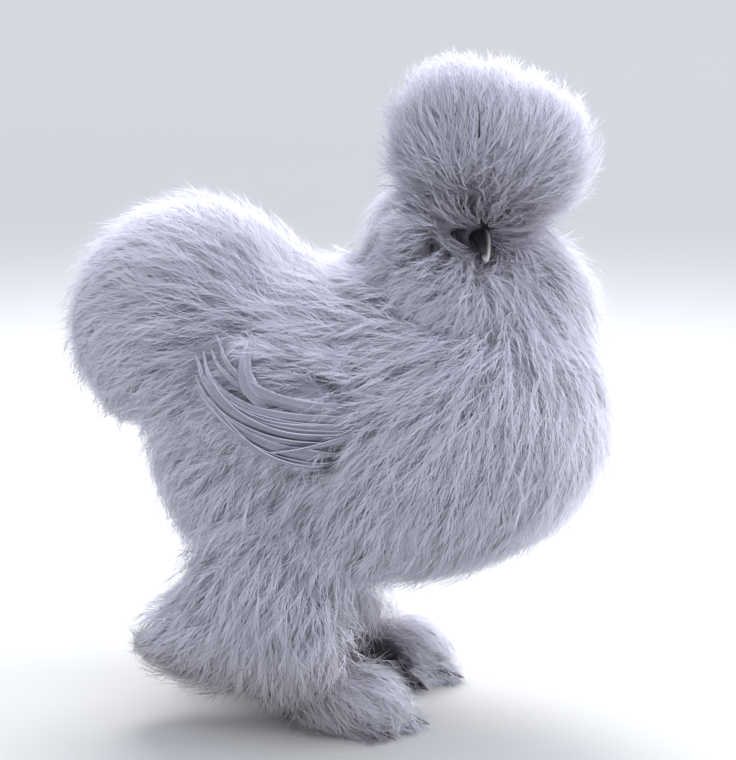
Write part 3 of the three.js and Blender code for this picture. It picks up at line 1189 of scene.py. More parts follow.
def wrapped(values: Array, marks: list[Array]) -> tuple[Array, Array]:
    """Wraps a surface round the places where a field on a grid is below zero.

    Args:
        values: the field, by its place along X, Y and Z.
        marks: the grid's marks along each of the three.

    Returns:
        The surface's points, and its four-cornered faces.
    """
    cells = tuple(n - 1 for n in values.shape)
    total, count = np.zeros(cells + (3,)), np.zeros(cells)
    crossings = []
    for axis, along in enumerate(marks):
        first, second = (values.take(np.arange(cells[axis]) + shift, axis) for shift in (0, 1))
        at = np.argwhere((first < 0) != (second < 0))
        a, b = first[tuple(at.T)], second[tuple(at.T)]
        place = np.stack([marks[i][at[:, i]] for i in range(3)], axis=-1)
        place[:, axis] += (along[at[:, axis] + 1] - along[at[:, axis]]) * a / (a - b)
        corners = []
        for back in ((0, 0), (1, 0), (0, 1), (1, 1)):
            cell = at.copy()
            cell[:, [i for i in range(3) if i != axis]] -= back
            corners.append(tuple(cell.T))
            np.add.at(total, corners[-1], place)
            np.add.at(count, corners[-1], 1.0)
        crossings.append((corners, (a < 0) == (axis == 1)))
    used = count > 0
    index = np.full(cells, -1)
    index[used] = np.arange(np.count_nonzero(used))
    faces = []
    for corners, turned in crossings:
        quads = np.stack([index[corners[i]] for i in (0, 1, 3, 2)], axis=-1)
        quads[turned] = quads[turned][:, ::-1]
        faces.append(quads)
    return total[used] / count[used][:, None], np.concatenate(faces)


# Plumage


def spikes(path: Array, side: Array, out: Array, width: Array) -> tuple[Array, Array, Array]:
    """Closed tapering spikes, three-cornered in section, each along its own path.

    Args:
        path: the points of each spike's middle line from root to tip.
        side: the way across each spike at each point but the tip.
        out: the way out of the coat at each of those points.
        width: how wide the spike is at each of those points.

    Returns:
        The points of each spike, its three-cornered faces, and the way each point faces.
    """
    count, joints = path.shape[0], path.shape[1] - 1
    half = width[..., None] / 2.0
    rings = np.stack(
        [path[:, :-1] + side * half, path[:, :-1] + out * half * 0.9, path[:, :-1] - side * half],
        axis=2,
    )
    points = np.concatenate([rings.reshape(count, joints * 3, 3), path[:, -1:]], axis=1)
    faces = [(0, 1, 2)]
    for ring in range(joints - 1):
        for i in range(3):
            a, b = 3 * ring + i, 3 * ring + (i + 1) % 3
            faces += [(b, a, b + 3), (b + 3, a, a + 3)]
    last, tip = 3 * (joints - 1), 3 * joints
    faces += [(last + (i + 1) % 3, last + i, tip) for i in range(3)]
    each = np.array(faces)[None] + (np.arange(count) * (3 * joints + 1))[:, None, None]
    side, out = np.broadcast_arrays(side, out)
    facing = np.stack([side, out, -side], axis=2).reshape(count, joints * 3, 3)
    return points, each, np.concatenate([facing, out[:, -1:]], axis=1)


SHAFT_TRIANGLES = 10
BARB_TRIANGLES = 4


@dataclass(frozen=True)
class Plume:
    """One kind of plume: a fine shaft with hair-like barbs along it.

    A pair of numbers is a value and how far it changes, along the shaft or by chance.
    """

    length: float = 32.0
    shaft: float = 0.5
    barbs: int = 16
    barb_length: float = 13.0
    barb_width: float = 0.27
    spread: float = 31.0
    wander: float = 13.0
    sink: float = 6.0
    stand: float = -1.5
    loose: float = 5.0
    lift: float = 0.10
    barb_from: float = 0.10
    barb_span: float = 0.88
    barb_opening: Pair = (1.25, 0.95)
    barb_turns: Pair = (0.3, 0.9)
    barb_sizes: Pair = (0.6, 0.7)
    barb_shortening: Pair = (1.15, 0.5)
    barb_root: float = 0.85
    barb_paling: float = 0.42
    shaft_taper: Pair = (1.0, 0.6)

    def triangles(self) -> int:
        """How many triangles one plume has."""
        return SHAFT_TRIANGLES + BARB_TRIANGLES * self.barbs


@dataclass(frozen=True)
class Lie:
    """How the plumage lies near one place: one way, or fanning out from a point."""

    place: Point
    reach: float
    way: Optional[Point] = None
    away_from: Optional[Point] = None

    def pull(self, points: Array) -> tuple[Array, Array]:
        """The way this lie points at each place, and how much it counts there.

        Args:
            points: places in millimetres.

        Returns:
            A direction and a weight for each point.
        """
        gap = np.linalg.norm(points - np.array(self.place), axis=-1)
        weight = np.exp(-0.5 * (gap / self.reach) ** 2) + 1e-9
        if self.way is not None:
            way = np.broadcast_to(unit(np.array(self.way, float)), points.shape)
        else:
            way = unit(points - np.array(self.away_from))
        return way, weight[..., None]


@dataclass(frozen=True)
class Grain:
    """The lie of the plumage over a whole form, as a blend of its lies."""

    lies: tuple
    both_sides: bool = True
    placement: Placement = Placement()

    def way(self, points: Array) -> Array:
        """The way the plumage points at each place.

        Args:
            points: places in millimetres.

        Returns:
            One direction for each point.
        """
        local = self.placement.local(points)
        flip = np.ones_like(local)
        if self.both_sides:
            flip[..., 1] = np.where(local[..., 1] < 0, -1.0, 1.0)
        folded = local * flip
        total = np.zeros_like(folded)
        weights = np.zeros(folded.shape[:-1] + (1,))
        for lie in self.lies:
            way, weight = lie.pull(folded)
            total += way * weight
            weights += weight
        return (total / weights * flip) @ self.placement.matrix.T


BODY_GRAIN = Grain(
    (
        Lie((80, 30, 212), 26, away_from=(62, 6, 236)),
        Lie((112, 0, 165), 34, away_from=(70, 0, 260)),
        Lie((62, 70, 165), 34, way=(-0.42, 0.0, -0.9)),
        Lie((95, 40, 120), 30, way=(-0.25, 0.0, -0.97)),
        Lie((60, 40, 92), 30, way=(-0.62, 0.0, -0.78)),
        Lie((0, 50, 88), 30, way=(-0.45, 0.0, -0.88)),
        Lie((20, 62, 200), 28, way=(-0.88, 0.0, -0.42)),
        Lie((-28, 40, 218), 28, way=(-1.0, 0.0, 0.1)),
        Lie((-22, 78, 176), 22, way=(-1.0, 0.0, 0.05)),
        Lie((10, 74, 177), 17, way=(-1.0, 0.0, -0.08)),
        Lie((-85, 45, 215), 42, away_from=(-8, 22, 182)),
        Lie((-140, 20, 190), 34, way=(-0.55, 0.0, -0.83)),
        Lie((-95, 45, 138), 30, way=(-0.62, 0.0, -0.78)),
        Lie((-20, 66, 122), 28, way=(-0.5, 0.0, -0.86)),
        Lie((-46, 60, 84), 26, way=(-0.25, 0.0, -0.97)),
        Lie((-92, 42, 46), 24, way=(-0.86, 0.1, -0.48)),
        Lie((-20, 50, 38), 20, way=(0.1, 0.1, -1.0)),
        Lie((0, 24, 238), 22, way=(-0.7, 0.1, -0.7)),
        Lie((34, 42, 236), 22, way=(-0.4, 0.0, -0.92)),
        Lie((92, 22, 232), 20, way=(0.35, 0.0, -0.94)),
    )
)
CREST_GRAIN = Grain(
    (Lie((15, -4, 40), 34, away_from=(20, -5, 8)), Lie((-50, -4, 20), 26, way=(-0.35, 0.0, -0.94))),
    False,
    BIRD.ruff,
)
BEARD_GRAIN = Grain((Lie((0, 0, 0), 100, away_from=(22, 0, -2)),), False, BIRD.ruff)
FACE_GRAIN = Grain(
    (Lie((18, 0, -5), 8, away_from=(21, 0, -1)), Lie((12, 0, 16), 8, away_from=(15.5, 0, 4))),
    False,
    BIRD.head,
)


def boot_grain(side: Side) -> Grain:
    """The lie of the plumage over one foot: out of the ankle, over the toes."""
    x, y = BIRD.foot(side)
    return Grain((Lie((0, 0, 0), 200, away_from=(x - 34, y - 6 * side.value, 44)),), False)


@dataclass(frozen=True)
class Sweep:
    """A smooth line over the bird's side, by four guiding places along X and Z."""

    start: Pair
    leave: Pair
    bend: Pair
    end: Pair

    def points(self, along: Array) -> Array:
        """Places along the line.

        Args:
            along: shares of the line from 0 to 1.

        Returns:
            Places along X and Z.
        """
        t = along[:, None]
        a, b, c, d = (np.array(part, float) for part in (self.start, self.leave, self.bend, self.end))
        return (1 - t) ** 3 * a + 3 * t * (1 - t) ** 2 * b + 3 * t**2 * (1 - t) * c + t**3 * d


@dataclass(frozen=True)
class WingLines:
    """The lines that the wing's feathers follow, from its top row to its lowest."""

    rows: tuple = (
        Sweep((15, 162), (-14, 168), (-42, 168), (-57, 189)),
        Sweep((17, 155), (-12, 152), (-50, 152), (-65, 184)),
        Sweep((-3, 137), (-26, 135), (-46, 150), (-66, 166)),
    )
    depth: float = 3.6
    level_reach: float = 3.0
    rim: float = 4.0
    open_from: float = 0.2
    inner: float = 40.0
    hollow: Pair = (-26.0, 181.0)
    hollow_reach: float = 9.0

    def line(self, level: float, along: Array) -> Array:
        """One feather's line, at a level from 0, the top row, to 1, the lowest.

        Args:
            level: the feather's level.
            along: shares of the line's length.

        Returns:
            Places along X and Z.
        """
        place = level * (len(self.rows) - 1)
        index = min(int(place), len(self.rows) - 2)
        share = place - index
        upper, lower = self.rows[index].points(along), self.rows[index + 1].points(along)
        return upper * (1 - share) + lower * share

    def sink(self, points: Array) -> Array:
        """How far the plumage lies down at each point to leave the wing's feathers open.

        Args:
            points: places in millimetres.

        Returns:
            One depth for each point, in millimetres.
        """
        along = np.linspace(self.open_from, 1.0, 14)
        marks = np.concatenate([self.line(level, along) for level in np.linspace(0, 1, 7)])
        gap = np.full(len(points), 1e3)
        for x, z in marks:
            gap = np.minimum(gap, np.hypot(points[:, 0] - x, points[:, 2] - z))
        deep = self.depth * (1.0 - eased(gap, self.level_reach, self.level_reach + self.rim))
        away = np.hypot(points[:, 0] - self.hollow[0], points[:, 2] - self.hollow[1])
        deep = np.maximum(deep, self.depth * np.exp(-((away / self.hollow_reach) ** 2)))
        return deep * (np.abs(points[:, 1]) > self.inner)


@dataclass(frozen=True)
class Cover:
    """The outside of one stretch of plumage and how it lies."""

    form: Union[Form, Carved]
    grain: Grain
    sink: Optional[Callable[[Array], Array]] = None
    space: Optional[Form] = None

    def outside(self, points: Array) -> Array:
        """How far each point lies outside the plumage."""
        gap = self.form.distance(points)
        return gap if self.sink is None else gap + self.sink(points)


@dataclass
class CoatPiece:
    """One mesh of joined plumes, on its own stretch of the skin.

    Each of its locks, like its cloud of tone, is an amount, a width in millimetres and a phase.
    """

    name: str
    cover: Cover
    plume: Plume
    triangles: int
    middle: Point
    seed: int
    paleness: float = 0.5
    steps: int = 4
    floor: float = 0.35
    roundness: float = 0.16
    straying: float = 0.3
    unevenness: float = 0.24
    extreme: float = 1.8
    locks: tuple = ((18.0, 34.0, 0.7), (10.0, 13.0, 2.9))
    rising: float = 1.8
    climb: Pair = (-6.0, 10.0)
    least_run: float = 0.35
    correction: Pair = (-8.0, 10.0)
    clearance: float = 0.8
    tones: float = 0.2
    tone_cloud: Point = (0.25, 22.0, 4.0)
    # How near the tip each point of a shaft counts: the root end carries painted shade.
    shaft_heights: tuple = (0, 0, 0, 0.5, 0.5, 0.5, 1.0)
    bake_margin: float = 0.01

    def build(self, skin: Shape, chosen: Array) -> None:
        """Grows the plumes and joins them into one piece.

        Args:
            skin: the shape of the skin.
            chosen: which faces of the skin the piece grows on.
        """
        rng = np.random.default_rng(self.seed)
        roots = self._roots(skin.points[skin.faces[chosen]], rng)
        make_piece(f"coat_{self.name}", self._grow(roots, rng), PlumeFinish())

    def _roots(self, quads: Array, rng: Random) -> Array:
        """Picks evenly strewn places on these faces of the skin.

        Args:
            quads: the corners of each face.
            rng: the source of chance.

        Returns:
            One root for each plume.
        """
        count = self.triangles // self.plume.triangles()
        areas = np.linalg.norm(np.cross(quads[:, 2] - quads[:, 0], quads[:, 3] - quads[:, 1]), axis=-1)
        ends = np.cumsum(areas)
        LOG.info("%s: %d plumes on %d square mm", self.name, count, ends[-1] / 2)
        marks = (np.arange(count) + rng.random(count)) / count * ends[-1]
        picked = quads[np.minimum(np.searchsorted(ends, marks), len(quads) - 1)]
        u, v = rng.random((2, count, 1))
        top = picked[:, 0] * (1 - u) + picked[:, 1] * u
        bottom = picked[:, 3] * (1 - u) + picked[:, 2] * u
        return top * (1 - v) + bottom * v

    def _guides(self, roots: Array, rng: Random) -> tuple[Array, Array]:
        """The middle lines of the plumes, and the way out of the coat along them.

        Args:
            roots: where the plumes grow.
            rng: the source of chance.

        Returns:
            The places on each line, and the way out at each.
        """
        plume, outside = self.plume, self.cover.outside
        count = len(roots)
        start = outside(roots)
        size = 1.0 + self.unevenness * rng.normal(size=(count, 1)).clip(-self.extreme, self.extreme)
        step = plume.length * size / self.steps
        tip = plume.stand - plume.sink * rng.random(count) ** 1.4
        tip += plume.loose * rng.random(count) * (rng.random(count) < self.straying)
        turn = plume.wander * rng.normal(size=count)
        for degrees, width, phase in self.locks:
            turn = turn + degrees * ripple(roots, width, phase + self.seed)
        turn = np.radians(turn)[:, None]
        at, normal = roots, outward(outside, roots)
        places, outs = [at], [normal]
        for k in range(1, self.steps + 1):
            way = along_surface(self.cover.grain.way(at), normal)
            way = way * np.cos(turn) + np.cross(normal, way) * np.sin(turn)
            share = 1.0 - (1.0 - k / self.steps) ** self.rising
            target = start + (tip - start) * share
            climb = np.clip(target - outside(at), *self.climb)[:, None]
            run = np.sqrt(np.maximum(step**2 - climb**2, (self.least_run * step) ** 2))
            at = at + way * run
            normal = outward(outside, at)
            at = at + normal * (target - outside(at))[:, None].clip(*self.correction)
            at[:, 2] = np.maximum(at[:, 2], self.floor + self.clearance)
            places.append(at)
            outs.append(normal)
        return np.stack(places, axis=1), np.stack(outs, axis=1)

    def _grow(self, roots: Array, rng: Random) -> Shape:
        """Makes the shafts and barbs of every plume.

        Args:
            roots: where the plumes grow.
            rng: the source of chance.

        Returns:
            All of them as one shape.
        """
        lines, outs = self._guides(roots, rng)
        amount, width, phase = self.tone_cloud
        tone = self.paleness + self.tones * rng.normal(size=len(roots))
        tone = tone + amount * ripple(roots, width, phase)
        marks = np.clip(tone, 0, 1), self._unwrap(roots)
        return joined([self._shafts(lines, outs, *marks), self._barbs(lines, outs, *marks, rng)])

    def _shafts(self, lines: Array, outs: Array, tone: Array, bake: Array) -> Shape:
        """Makes the shafts, but for those that would cross the free space.

        Args:
            lines: the middle line of each plume.
            outs: the way out of the coat along each of them.
            tone: how pale each plume is.
            bake: the place of each plume on the bake map.

        Returns:
            The shafts as one shape.
        """
        whole = np.flatnonzero(self._clear(lines).all(axis=1))
        half = self.steps // 2
        path = lines[whole][:, [0, half, self.steps]]
        ridge = outs[whole][:, [0, half]]
        across = unit(np.cross(unit(np.diff(path, axis=1)), ridge))
        taper = np.array(self.plume.shaft_taper)
        widths = np.broadcast_to(self.plume.shaft * taper, (len(whole), 2))
        spiked = spikes(path, across, ridge, widths)
        height = np.broadcast_to(np.array(self.shaft_heights), (len(whole), len(self.shaft_heights)))
        return self._dressed(spiked, height, tone[whole], bake[whole], ridge[:, :1])

    def _barbs(self, lines: Array, outs: Array, tone: Array, bake: Array, rng: Random) -> Shape:
        """Makes the barbs: long and spread low on the shaft, short and close at its tip.

        Args:
            lines: the middle line of each plume.
            outs: the way out of the coat along each of them.
            tone: how pale each plume is.
            bake: the place of each plume on the bake map.
            rng: the source of chance.

        Returns:
            The barbs as one shape.
        """
        plume, steps = self.plume, self.steps
        many = (len(lines), plume.barbs)
        place = np.arange(plume.barbs)[None] + rng.random(many)
        at = plume.barb_from + plume.barb_span * place / plume.barbs
        index = np.minimum((at * steps).astype(int), steps - 1)
        share = (at * steps - index)[..., None]
        rows = np.arange(len(lines))[:, None]
        start = lines[rows, index] * (1 - share) + lines[rows, index + 1] * share
        way = unit(lines[rows, index + 1] - lines[rows, index])
        out = outs[rows, index]
        side = unit(np.cross(way, out))
        widest, closing = plume.barb_opening
        least, more = plume.barb_turns
        angle = np.radians(plume.spread) * (widest - closing * at) * (least + more * rng.random(many))
        angle = (angle * np.where(rng.random(many) < 0.5, -1.0, 1.0))[..., None]
        rise = plume.lift * (rng.normal(size=many) + 0.35)[..., None]
        heading = unit(way * np.cos(angle) + side * np.sin(angle) + out * rise)
        least, more = plume.barb_sizes
        longest, shorter = plume.barb_shortening
        length = plume.barb_length * (least + more * rng.random(many)) * (longest - shorter * at)
        tips = start + heading * length[..., None]
        clear = self._clear(start) & self._clear(tips)
        start, tips, out, owner = start[clear], tips[clear], out[clear][:, None], np.nonzero(clear)[0]
        tips[:, 2] = np.maximum(tips[:, 2], self.floor)
        heading = unit(tips - start)[:, None]
        across = unit(np.cross(heading, out))
        ridge = unit(np.cross(across, heading))
        widths = np.full((len(owner), 1), plume.barb_width)
        spiked = spikes(np.stack([start, tips], axis=1), across, ridge, widths)
        # Barbs are deeper near the shaft's root and pale at their tips: painted shade, read by the
        # markings.
        rooted = plume.barb_root * at[clear][:, None]
        height = rooted + np.minimum(plume.barb_paling, 1.0 - rooted) * np.array([[0, 0, 0, 1.0]])
        return self._dressed(spiked, height, tone[owner], bake[owner], out)

    def _clear(self, points: Array) -> Array:
        """Which points lie outside the space that the plumage leaves free."""
        space = self.cover.space
        return np.full(points.shape[:-1], True) if space is None else space.distance(points) > 0

    def _dressed(self, spiked: tuple, height: Array, tone: Array, bake: Array, out: Array) -> Shape:
        """Gives spikes what their finish reads.

        Args:
            spiked: the spikes.
            height: how near each point is to the plume's tip.
            tone: how pale each spike is.
            bake: the place of each spike's plume on the bake map.
            out: the way out of the coat at each spike.

        Returns:
            The spikes as one shape, shaded almost as the coat's own surface.
        """
        points, faces, facing = spiked
        each = points.shape[1]
        flat = height.reshape(-1)
        tint = np.zeros((len(flat), 4))
        tint[:, 0] = flat
        tint[:, 1] = np.repeat(tone, each)
        tint[:, 3] = 1.0
        corner = np.tile(np.linspace(-0.5, 0.5, each), len(points))
        spot = np.repeat(bake, each, axis=0) + PATCH * np.stack([corner, flat - 0.5], axis=-1)
        shade = unit(self.roundness * facing + out)
        points, faces, shade = (part.reshape(-1, 3) for part in (points, faces, shade))
        return Shape(points, faces, {"plume": tint}, spot, shade)

    def _unwrap(self, roots: Array) -> Array:
        """Lays the roots out flat by their bearing and height round the middle of this piece.

        Args:
            roots: where the plumes grow.

        Returns:
            Each root's place on the bake map.
        """
        way = unit(roots - np.array(self.middle))
        bearing = np.arctan2(way[:, 1], way[:, 0])
        height = np.arccos(way[:, 2].clip(-1, 1))
        spread = np.stack([bearing, height], axis=-1)
        low, high = spread.min(axis=0), spread.max(axis=0)
        room = 1.0 - 2.0 * self.bake_margin
        return self.bake_margin + room * (spread - low) / np.maximum(high - low, 1e-6)


@dataclass
class Coat:
    """The whole coat: every stretch of plumage and how it is shared into pieces.

    Each cut is a plane, by a place on it and the way it faces.
    """

    skin: Skin
    shape: Shape
    tail_cut: tuple = ((-80, 0, 192), (-0.68, 0, 0.74))
    neck_cut: tuple = ((45, 0, 216), (-0.12, 0, 1))
    nape_cut: tuple = ((-14, 0, 226), (1, 0, 0.3))
    thigh_cut: tuple = ((-52, 0, 79), (-0.37, 0, -0.93))
    leg_front: float = 18.0
    breast_back: float = 32.0
    toe_tops: float = 5.5

    def build(self) -> None:
        """Grows every piece of the coat."""
        middles = self.shape.points[self.shape.faces].mean(axis=1)
        stretches = self._stretches(middles, np.argmin(self.skin.distances(middles), axis=1))
        for piece in self._pieces():
            piece.build(self.shape, stretches[piece.name])

    def _stretches(self, points: Array, labels: Array) -> dict[str, Array]:
        """Which faces of the skin each piece of the coat grows on.

        Args:
            points: the middles of the faces.
            labels: what grows on each of them.

        Returns:
            The choice of faces for each piece, by the piece's name.
        """

        def beyond(cut: tuple) -> Array:
            """Which points lie on the side of a plane that it faces."""
            place, facing = (np.array(part, float) for part in cut)
            return (points - place) @ facing > 0

        grown = {each: labels == each.value for each in Coating}
        body = grown[Coating.BODY]
        tail = beyond(self.tail_cut)
        neck = beyond(self.neck_cut) & beyond(self.nape_cut)
        leg = beyond(self.thigh_cut) & (points[:, 0] < self.leg_front)
        trunk = body & ~tail & ~neck & ~leg
        front = points[:, 0] > self.breast_back
        feathered = BIRD.bareness(points) < 0.5
        crest = grown[Coating.CREST] & feathered
        ahead = BIRD.ruff.local(points)[:, 0] > BIRD.crest.centre[0]
        stretches = {
            "crest_front": crest & ahead,
            "crest_back": crest & ~ahead,
            "beard": grown[Coating.BEARD] & feathered,
            "face": grown[Coating.HEAD] & feathered,
            "neck": body & neck,
            "breast": trunk & front,
            "tail": body & tail & ~neck & ~leg,
        }
        wings = grown[Coating.WING_RIGHT] | grown[Coating.WING_LEFT]
        toes = grown[Coating.FOOT] & (points[:, 2] > self.toe_tops)
        right = points[:, 1] < 0
        for side, half in ((Side.RIGHT, right), (Side.LEFT, ~right)):
            stretches[f"flank_{side.word}"] = trunk & ~front & half
            stretches[f"leg_{side.word}"] = body & leg & half
            stretches[f"wing_{side.word}"] = wings & half
            stretches[f"boot_{side.word}"] = grown[Coating[f"BOOT_{side.name}"]] | toes & half
        return stretches

    def _pieces(self) -> list[CoatPiece]:
        """Every piece of the coat, with its kind of plume and its share of the triangles.

        Returns:
            The pieces in the order in which they are grown.
        """
        body = Cover(BIRD.body_cover(), BODY_GRAIN, WingLines().sink)
        legs = Cover(BIRD.body_cover(), BODY_GRAIN, space=BIRD.instep_room())
        crest, beard, face = (
            Cover(BIRD.face_cover(), grain, space=BIRD.mouth_space())
            for grain in (CREST_GRAIN, BEARD_GRAIN, FACE_GRAIN)
        )
        fall = Cover(Form((BIRD.crest_form(), BIRD.beard_form(), BIRD.body_form()), 20.0), CREST_GRAIN)
        down = Plume()
        fine = Plume(shaft=0.4, barb_width=0.24, stand=-0.5)
        crown = Plume(
            length=25, barb_length=11, barb_width=0.25, spread=30, sink=5, stand=-4.5, loose=6.5
        )
        tuft = replace(fine, length=18, barb_length=8.5, sink=5, loose=4)
        fluff = Plume(length=34, barb_length=15, sink=7, stand=-2.5, loose=7)
        short = replace(fine, length=24, barb_length=9, shaft=0.3, barb_width=0.22, sink=6, loose=3)
        covert = replace(fine, length=22, barb_length=9, sink=4, loose=2)
        leg = Plume(length=29, barb_length=13, sink=6, stand=-1, loose=6)
        foot = replace(fine, length=30, barb_length=13, sink=4, stand=0.5, loose=5)

        crest_middle = tuple(BIRD.ruff.on_bird(BIRD.crest.centre))
        chin = tuple(BIRD.ruff.on_bird((0, 0, -20)))
        pieces = [
            CoatPiece("crest_front", crest, crown, 140_000, crest_middle, 11, 0.2),
            CoatPiece("crest_back", fall, crown, 110_000, crest_middle, 12, 0.3),
            CoatPiece("beard", beard, tuft, 78_000, chin, 13),
            CoatPiece("face", face, short, 60_000, BIRD.head.origin, 14, 0.4),
            CoatPiece("neck", body, down, 105_000, (42, 3, 215), 15),
            CoatPiece("breast", body, down, 190_000, (30, 0, 150), 16),
            CoatPiece("tail", body, fluff, 180_000, (-86, 0, 185), 19),
        ]
        for side in Side:
            word, seed = side.word, 30 + side.value
            boot = Cover(BIRD.boot_cover(side), boot_grain(side), space=BIRD.instep_room())
            middle = (-40, 36 * side.value, 60)
            pieces += [
                CoatPiece(f"flank_{word}", body, down, 132_000, (-20, 0, 150), seed),
                CoatPiece(f"leg_{word}", legs, leg, 80_000, middle, seed + 5),
                # The coverts take the deepest tone: painted shade round the folded wing.
                CoatPiece(f"wing_{word}", body, covert, 40_000, (-20, 0, 160), seed + 7, 0),
                CoatPiece(f"boot_{word}", boot, foot, 52_000, (*BIRD.foot(side), 10), seed + 9),
            ]
        return pieces


# Wings


@dataclass
class Wing:
    """A folded wing: strap-like feathers that curve up to their frayed tips.

    The lie of a feather is its height out of the bed, its roll and its size.
    """

    side: Side
    feathers: int = 11
    width: float = 6.6
    thickness: float = 0.35
    bed: float = 2.2
    along: int = 24
    across: int = 13
    camber: float = 0.8
    groove: float = 0.16
    fray: int = 44
    fray_from: float = 0.4
    barb_width: float = 0.28
    rim_width: float = 0.4
    dives: Point = (1.0, 8.0, 1.0)
    heights: Pair = (0.25, 0.9)
    rolls: Pair = (26.0, 10.0)
    jitter: float = 0.03
    drift: float = 3.0
    edge_wave: float = 0.06
    shaft_height: float = 0.35
    rim_lift: float = 0.6
    search_from: float = 110.0
    search_rounds: int = 40
    search_pull: float = 0.8
    seed: int = 5
    curl: Sweep = Sweep((-21, 167.5), (-36, 168), (-42.5, 176), (-42, 196))
    curl_lie: Point = (1.6, -12.0, 1.15)
    quill: Sweep = Sweep((15, 154.5), (2, 151), (-12, 148), (-31, 145))
    quill_lie: Point = (2.0, 40.0, 0.5)

    def build(self) -> None:
        """Makes all the feathers of one wing as one piece."""
        rng = np.random.default_rng(self.seed)
        lines = WingLines()
        along = np.linspace(0.0, 1.0, self.along)
        shapes = []
        for number in range(self.feathers):
            level = number / (self.feathers - 1)
            line = lines.line(np.clip(level + self.jitter * rng.normal(), 0, 1), along)
            line = line + np.outer(along**2, rng.normal(size=2) * self.drift)
            height = self.heights[0] + self.heights[1] * level
            roll = self.rolls[0] + self.rolls[1] * rng.normal()
            shapes += self._feather(line, height, roll, 1.0, rng)
        shapes += self._feather(self.curl.points(along), *self.curl_lie, rng)
        shapes += self._feather(self.quill.points(along), *self.quill_lie, rng)
        make_piece(f"wing_feathers_{self.side.word}", joined(shapes), VaneFinish())

    def _feather(
        self, line: Array, height: float, roll: float, size: float, rng: Random
    ) -> list[Shape]:
        """Makes one feather.

        Args:
            line: its middle line, along X and Z.
            height: how far out of the bed of plumage it lies.
            roll: how far its upper edge is turned outwards, in degrees.
            size: how wide it is, 1 being usual.
            rng: the source of its chance differences.

        Returns:
            Its blade, and the frayed barbs along its edges.
        """
        t = np.linspace(0.0, 1.0, self.along)
        arch, root, tip = self.dives
        dive = self.bed + arch - arch * np.sin(math.pi * t) + root * (1 - t) ** 3.5 + tip * t**4
        spine = self._on_wing(line, height - dive)
        out = outward(BIRD.body_cover().distance, spine)
        way = unit(np.gradient(spine, axis=0))
        side = unit(np.cross(way, out)) * -self.side.value
        side = side * np.where(side[:, 2:] < 0, -1.0, 1.0)
        shares = np.linspace(-1, 1, self.across)
        profile = self._outline(t)
        half = size * self.width * (0.75 + 0.5 * rng.random()) / 2 * profile
        phase = rng.random(3) * 2 * math.pi
        lean = np.radians(roll * (1.0 + 0.6 * np.sin(4 * t + phase[0])))[:, None]
        turned = side * np.cos(lean) + out * np.sin(lean)
        raised = out * np.cos(lean) - side * np.sin(lean)
        wave = 1 + self.edge_wave * np.sin(t * 21 + phase[1]) * (np.abs(shares)[:, None] > 0.9)
        groove = self.groove * np.sin(shares[:, None] * 11 + 1.2 * np.sin(5 * t + phase[2]))
        bow = self.camber * (1 - shares**2)[:, None] + groove * profile
        bow = bow + self.shaft_height * (np.abs(shares) < 0.05)[:, None]
        bow = bow + self.rim_lift * (shares > 0.9)[:, None]
        top = spine[:, None] + turned[:, None] * (shares[:, None] * half * wave).T[..., None]
        top = top + raised[:, None] * bow.T[..., None]
        points = np.stack([top, top - raised[:, None] * self.thickness]).reshape(-1, 3)
        tone = 0.2 + 0.6 * rng.random()
        cell = np.array([0.02 + 0.96 * rng.random(), 0.02 + 0.96 * rng.random()])
        grid = np.stack(np.meshgrid(t, shares, indexing="ij"), axis=-1)
        spot = (cell + PATCH * grid)[None].repeat(2, axis=0).reshape(-1, 2)
        blade = Shape(points, self._blade_faces(), {"plume": self._tint(t, shares, tone)}, spot)
        return [blade.triangulated(), self._fray(top, way, raised, tone, cell, rng)]

    @staticmethod
    def _outline(t: Array) -> Array:
        """How wide a blade is along its length: narrow at the root and rounded at the tip."""
        return np.clip(4.2 * t, 0.16, 1.0) * np.clip(1.0 - t**2.8, 0.0, 1.0) ** 0.7 + 0.02

    def _tint(self, t: Array, shares: Array, tone: float) -> Array:
        """What the finish reads on both layers of a blade: its rim, shaft and tip are pale, the upper
        rim the most as a painted highlight, and it deepens towards the root as painted shade.

        Args:
            t: how near each row is to the tip.
            shares: where each column lies across the blade.
            tone: how pale the feather is.

        Returns:
            One colour for each point of the blade.
        """
        wide = np.abs(shares)
        rim = np.clip((wide - 1.0 + self.rim_width) / self.rim_width, 0, 1) ** 2
        # The upper rim is paler than the lower: a painted highlight where the light catches it.
        pale = np.maximum(rim * (0.35 + 0.65 * (shares > 0)), 0.3 * (wide < 0.1))
        tint = np.zeros((2, self.along, self.across, 4))
        # Deeper towards the root, where the feather runs under the plumage: painted shade.
        tint[..., 0] = 0.35 + 0.65 * t[:, None]
        tint[..., 1] = tone
        tint[..., 2] = np.maximum(pale, 0.5 * eased(t, 0.75, 1.0)[:, None])
        tint[..., 3] = 1.0
        return tint.reshape(-1, 4)

    def _blade_faces(self) -> Array:
        """The four-cornered faces of a blade of two layers.

        Returns:
            The faces, by the numbers of their corners.
        """
        n, m = self.along, self.across
        number = np.arange(2 * n * m).reshape(2, n, m)
        faces = []
        for layer, turn in ((number[0], 1), (number[1], -1)):
            quads = np.stack([layer[:-1, :-1], layer[:-1, 1:], layer[1:, 1:], layer[1:, :-1]], axis=-1)
            faces.append(quads.reshape(-1, 4)[:, ::turn])
        sides = ((number[:, :, 0], 1), (number[:, :, -1], -1))
        ends = ((number[:, 0, :], -1), (number[:, -1, :], 1))
        for strip, turn in sides + ends:
            quads = np.stack([strip[0, :-1], strip[0, 1:], strip[1, 1:], strip[1, :-1]], axis=-1)
            faces.append(quads[:, ::turn])
        return np.concatenate(faces)[:, :: -self.side.value]

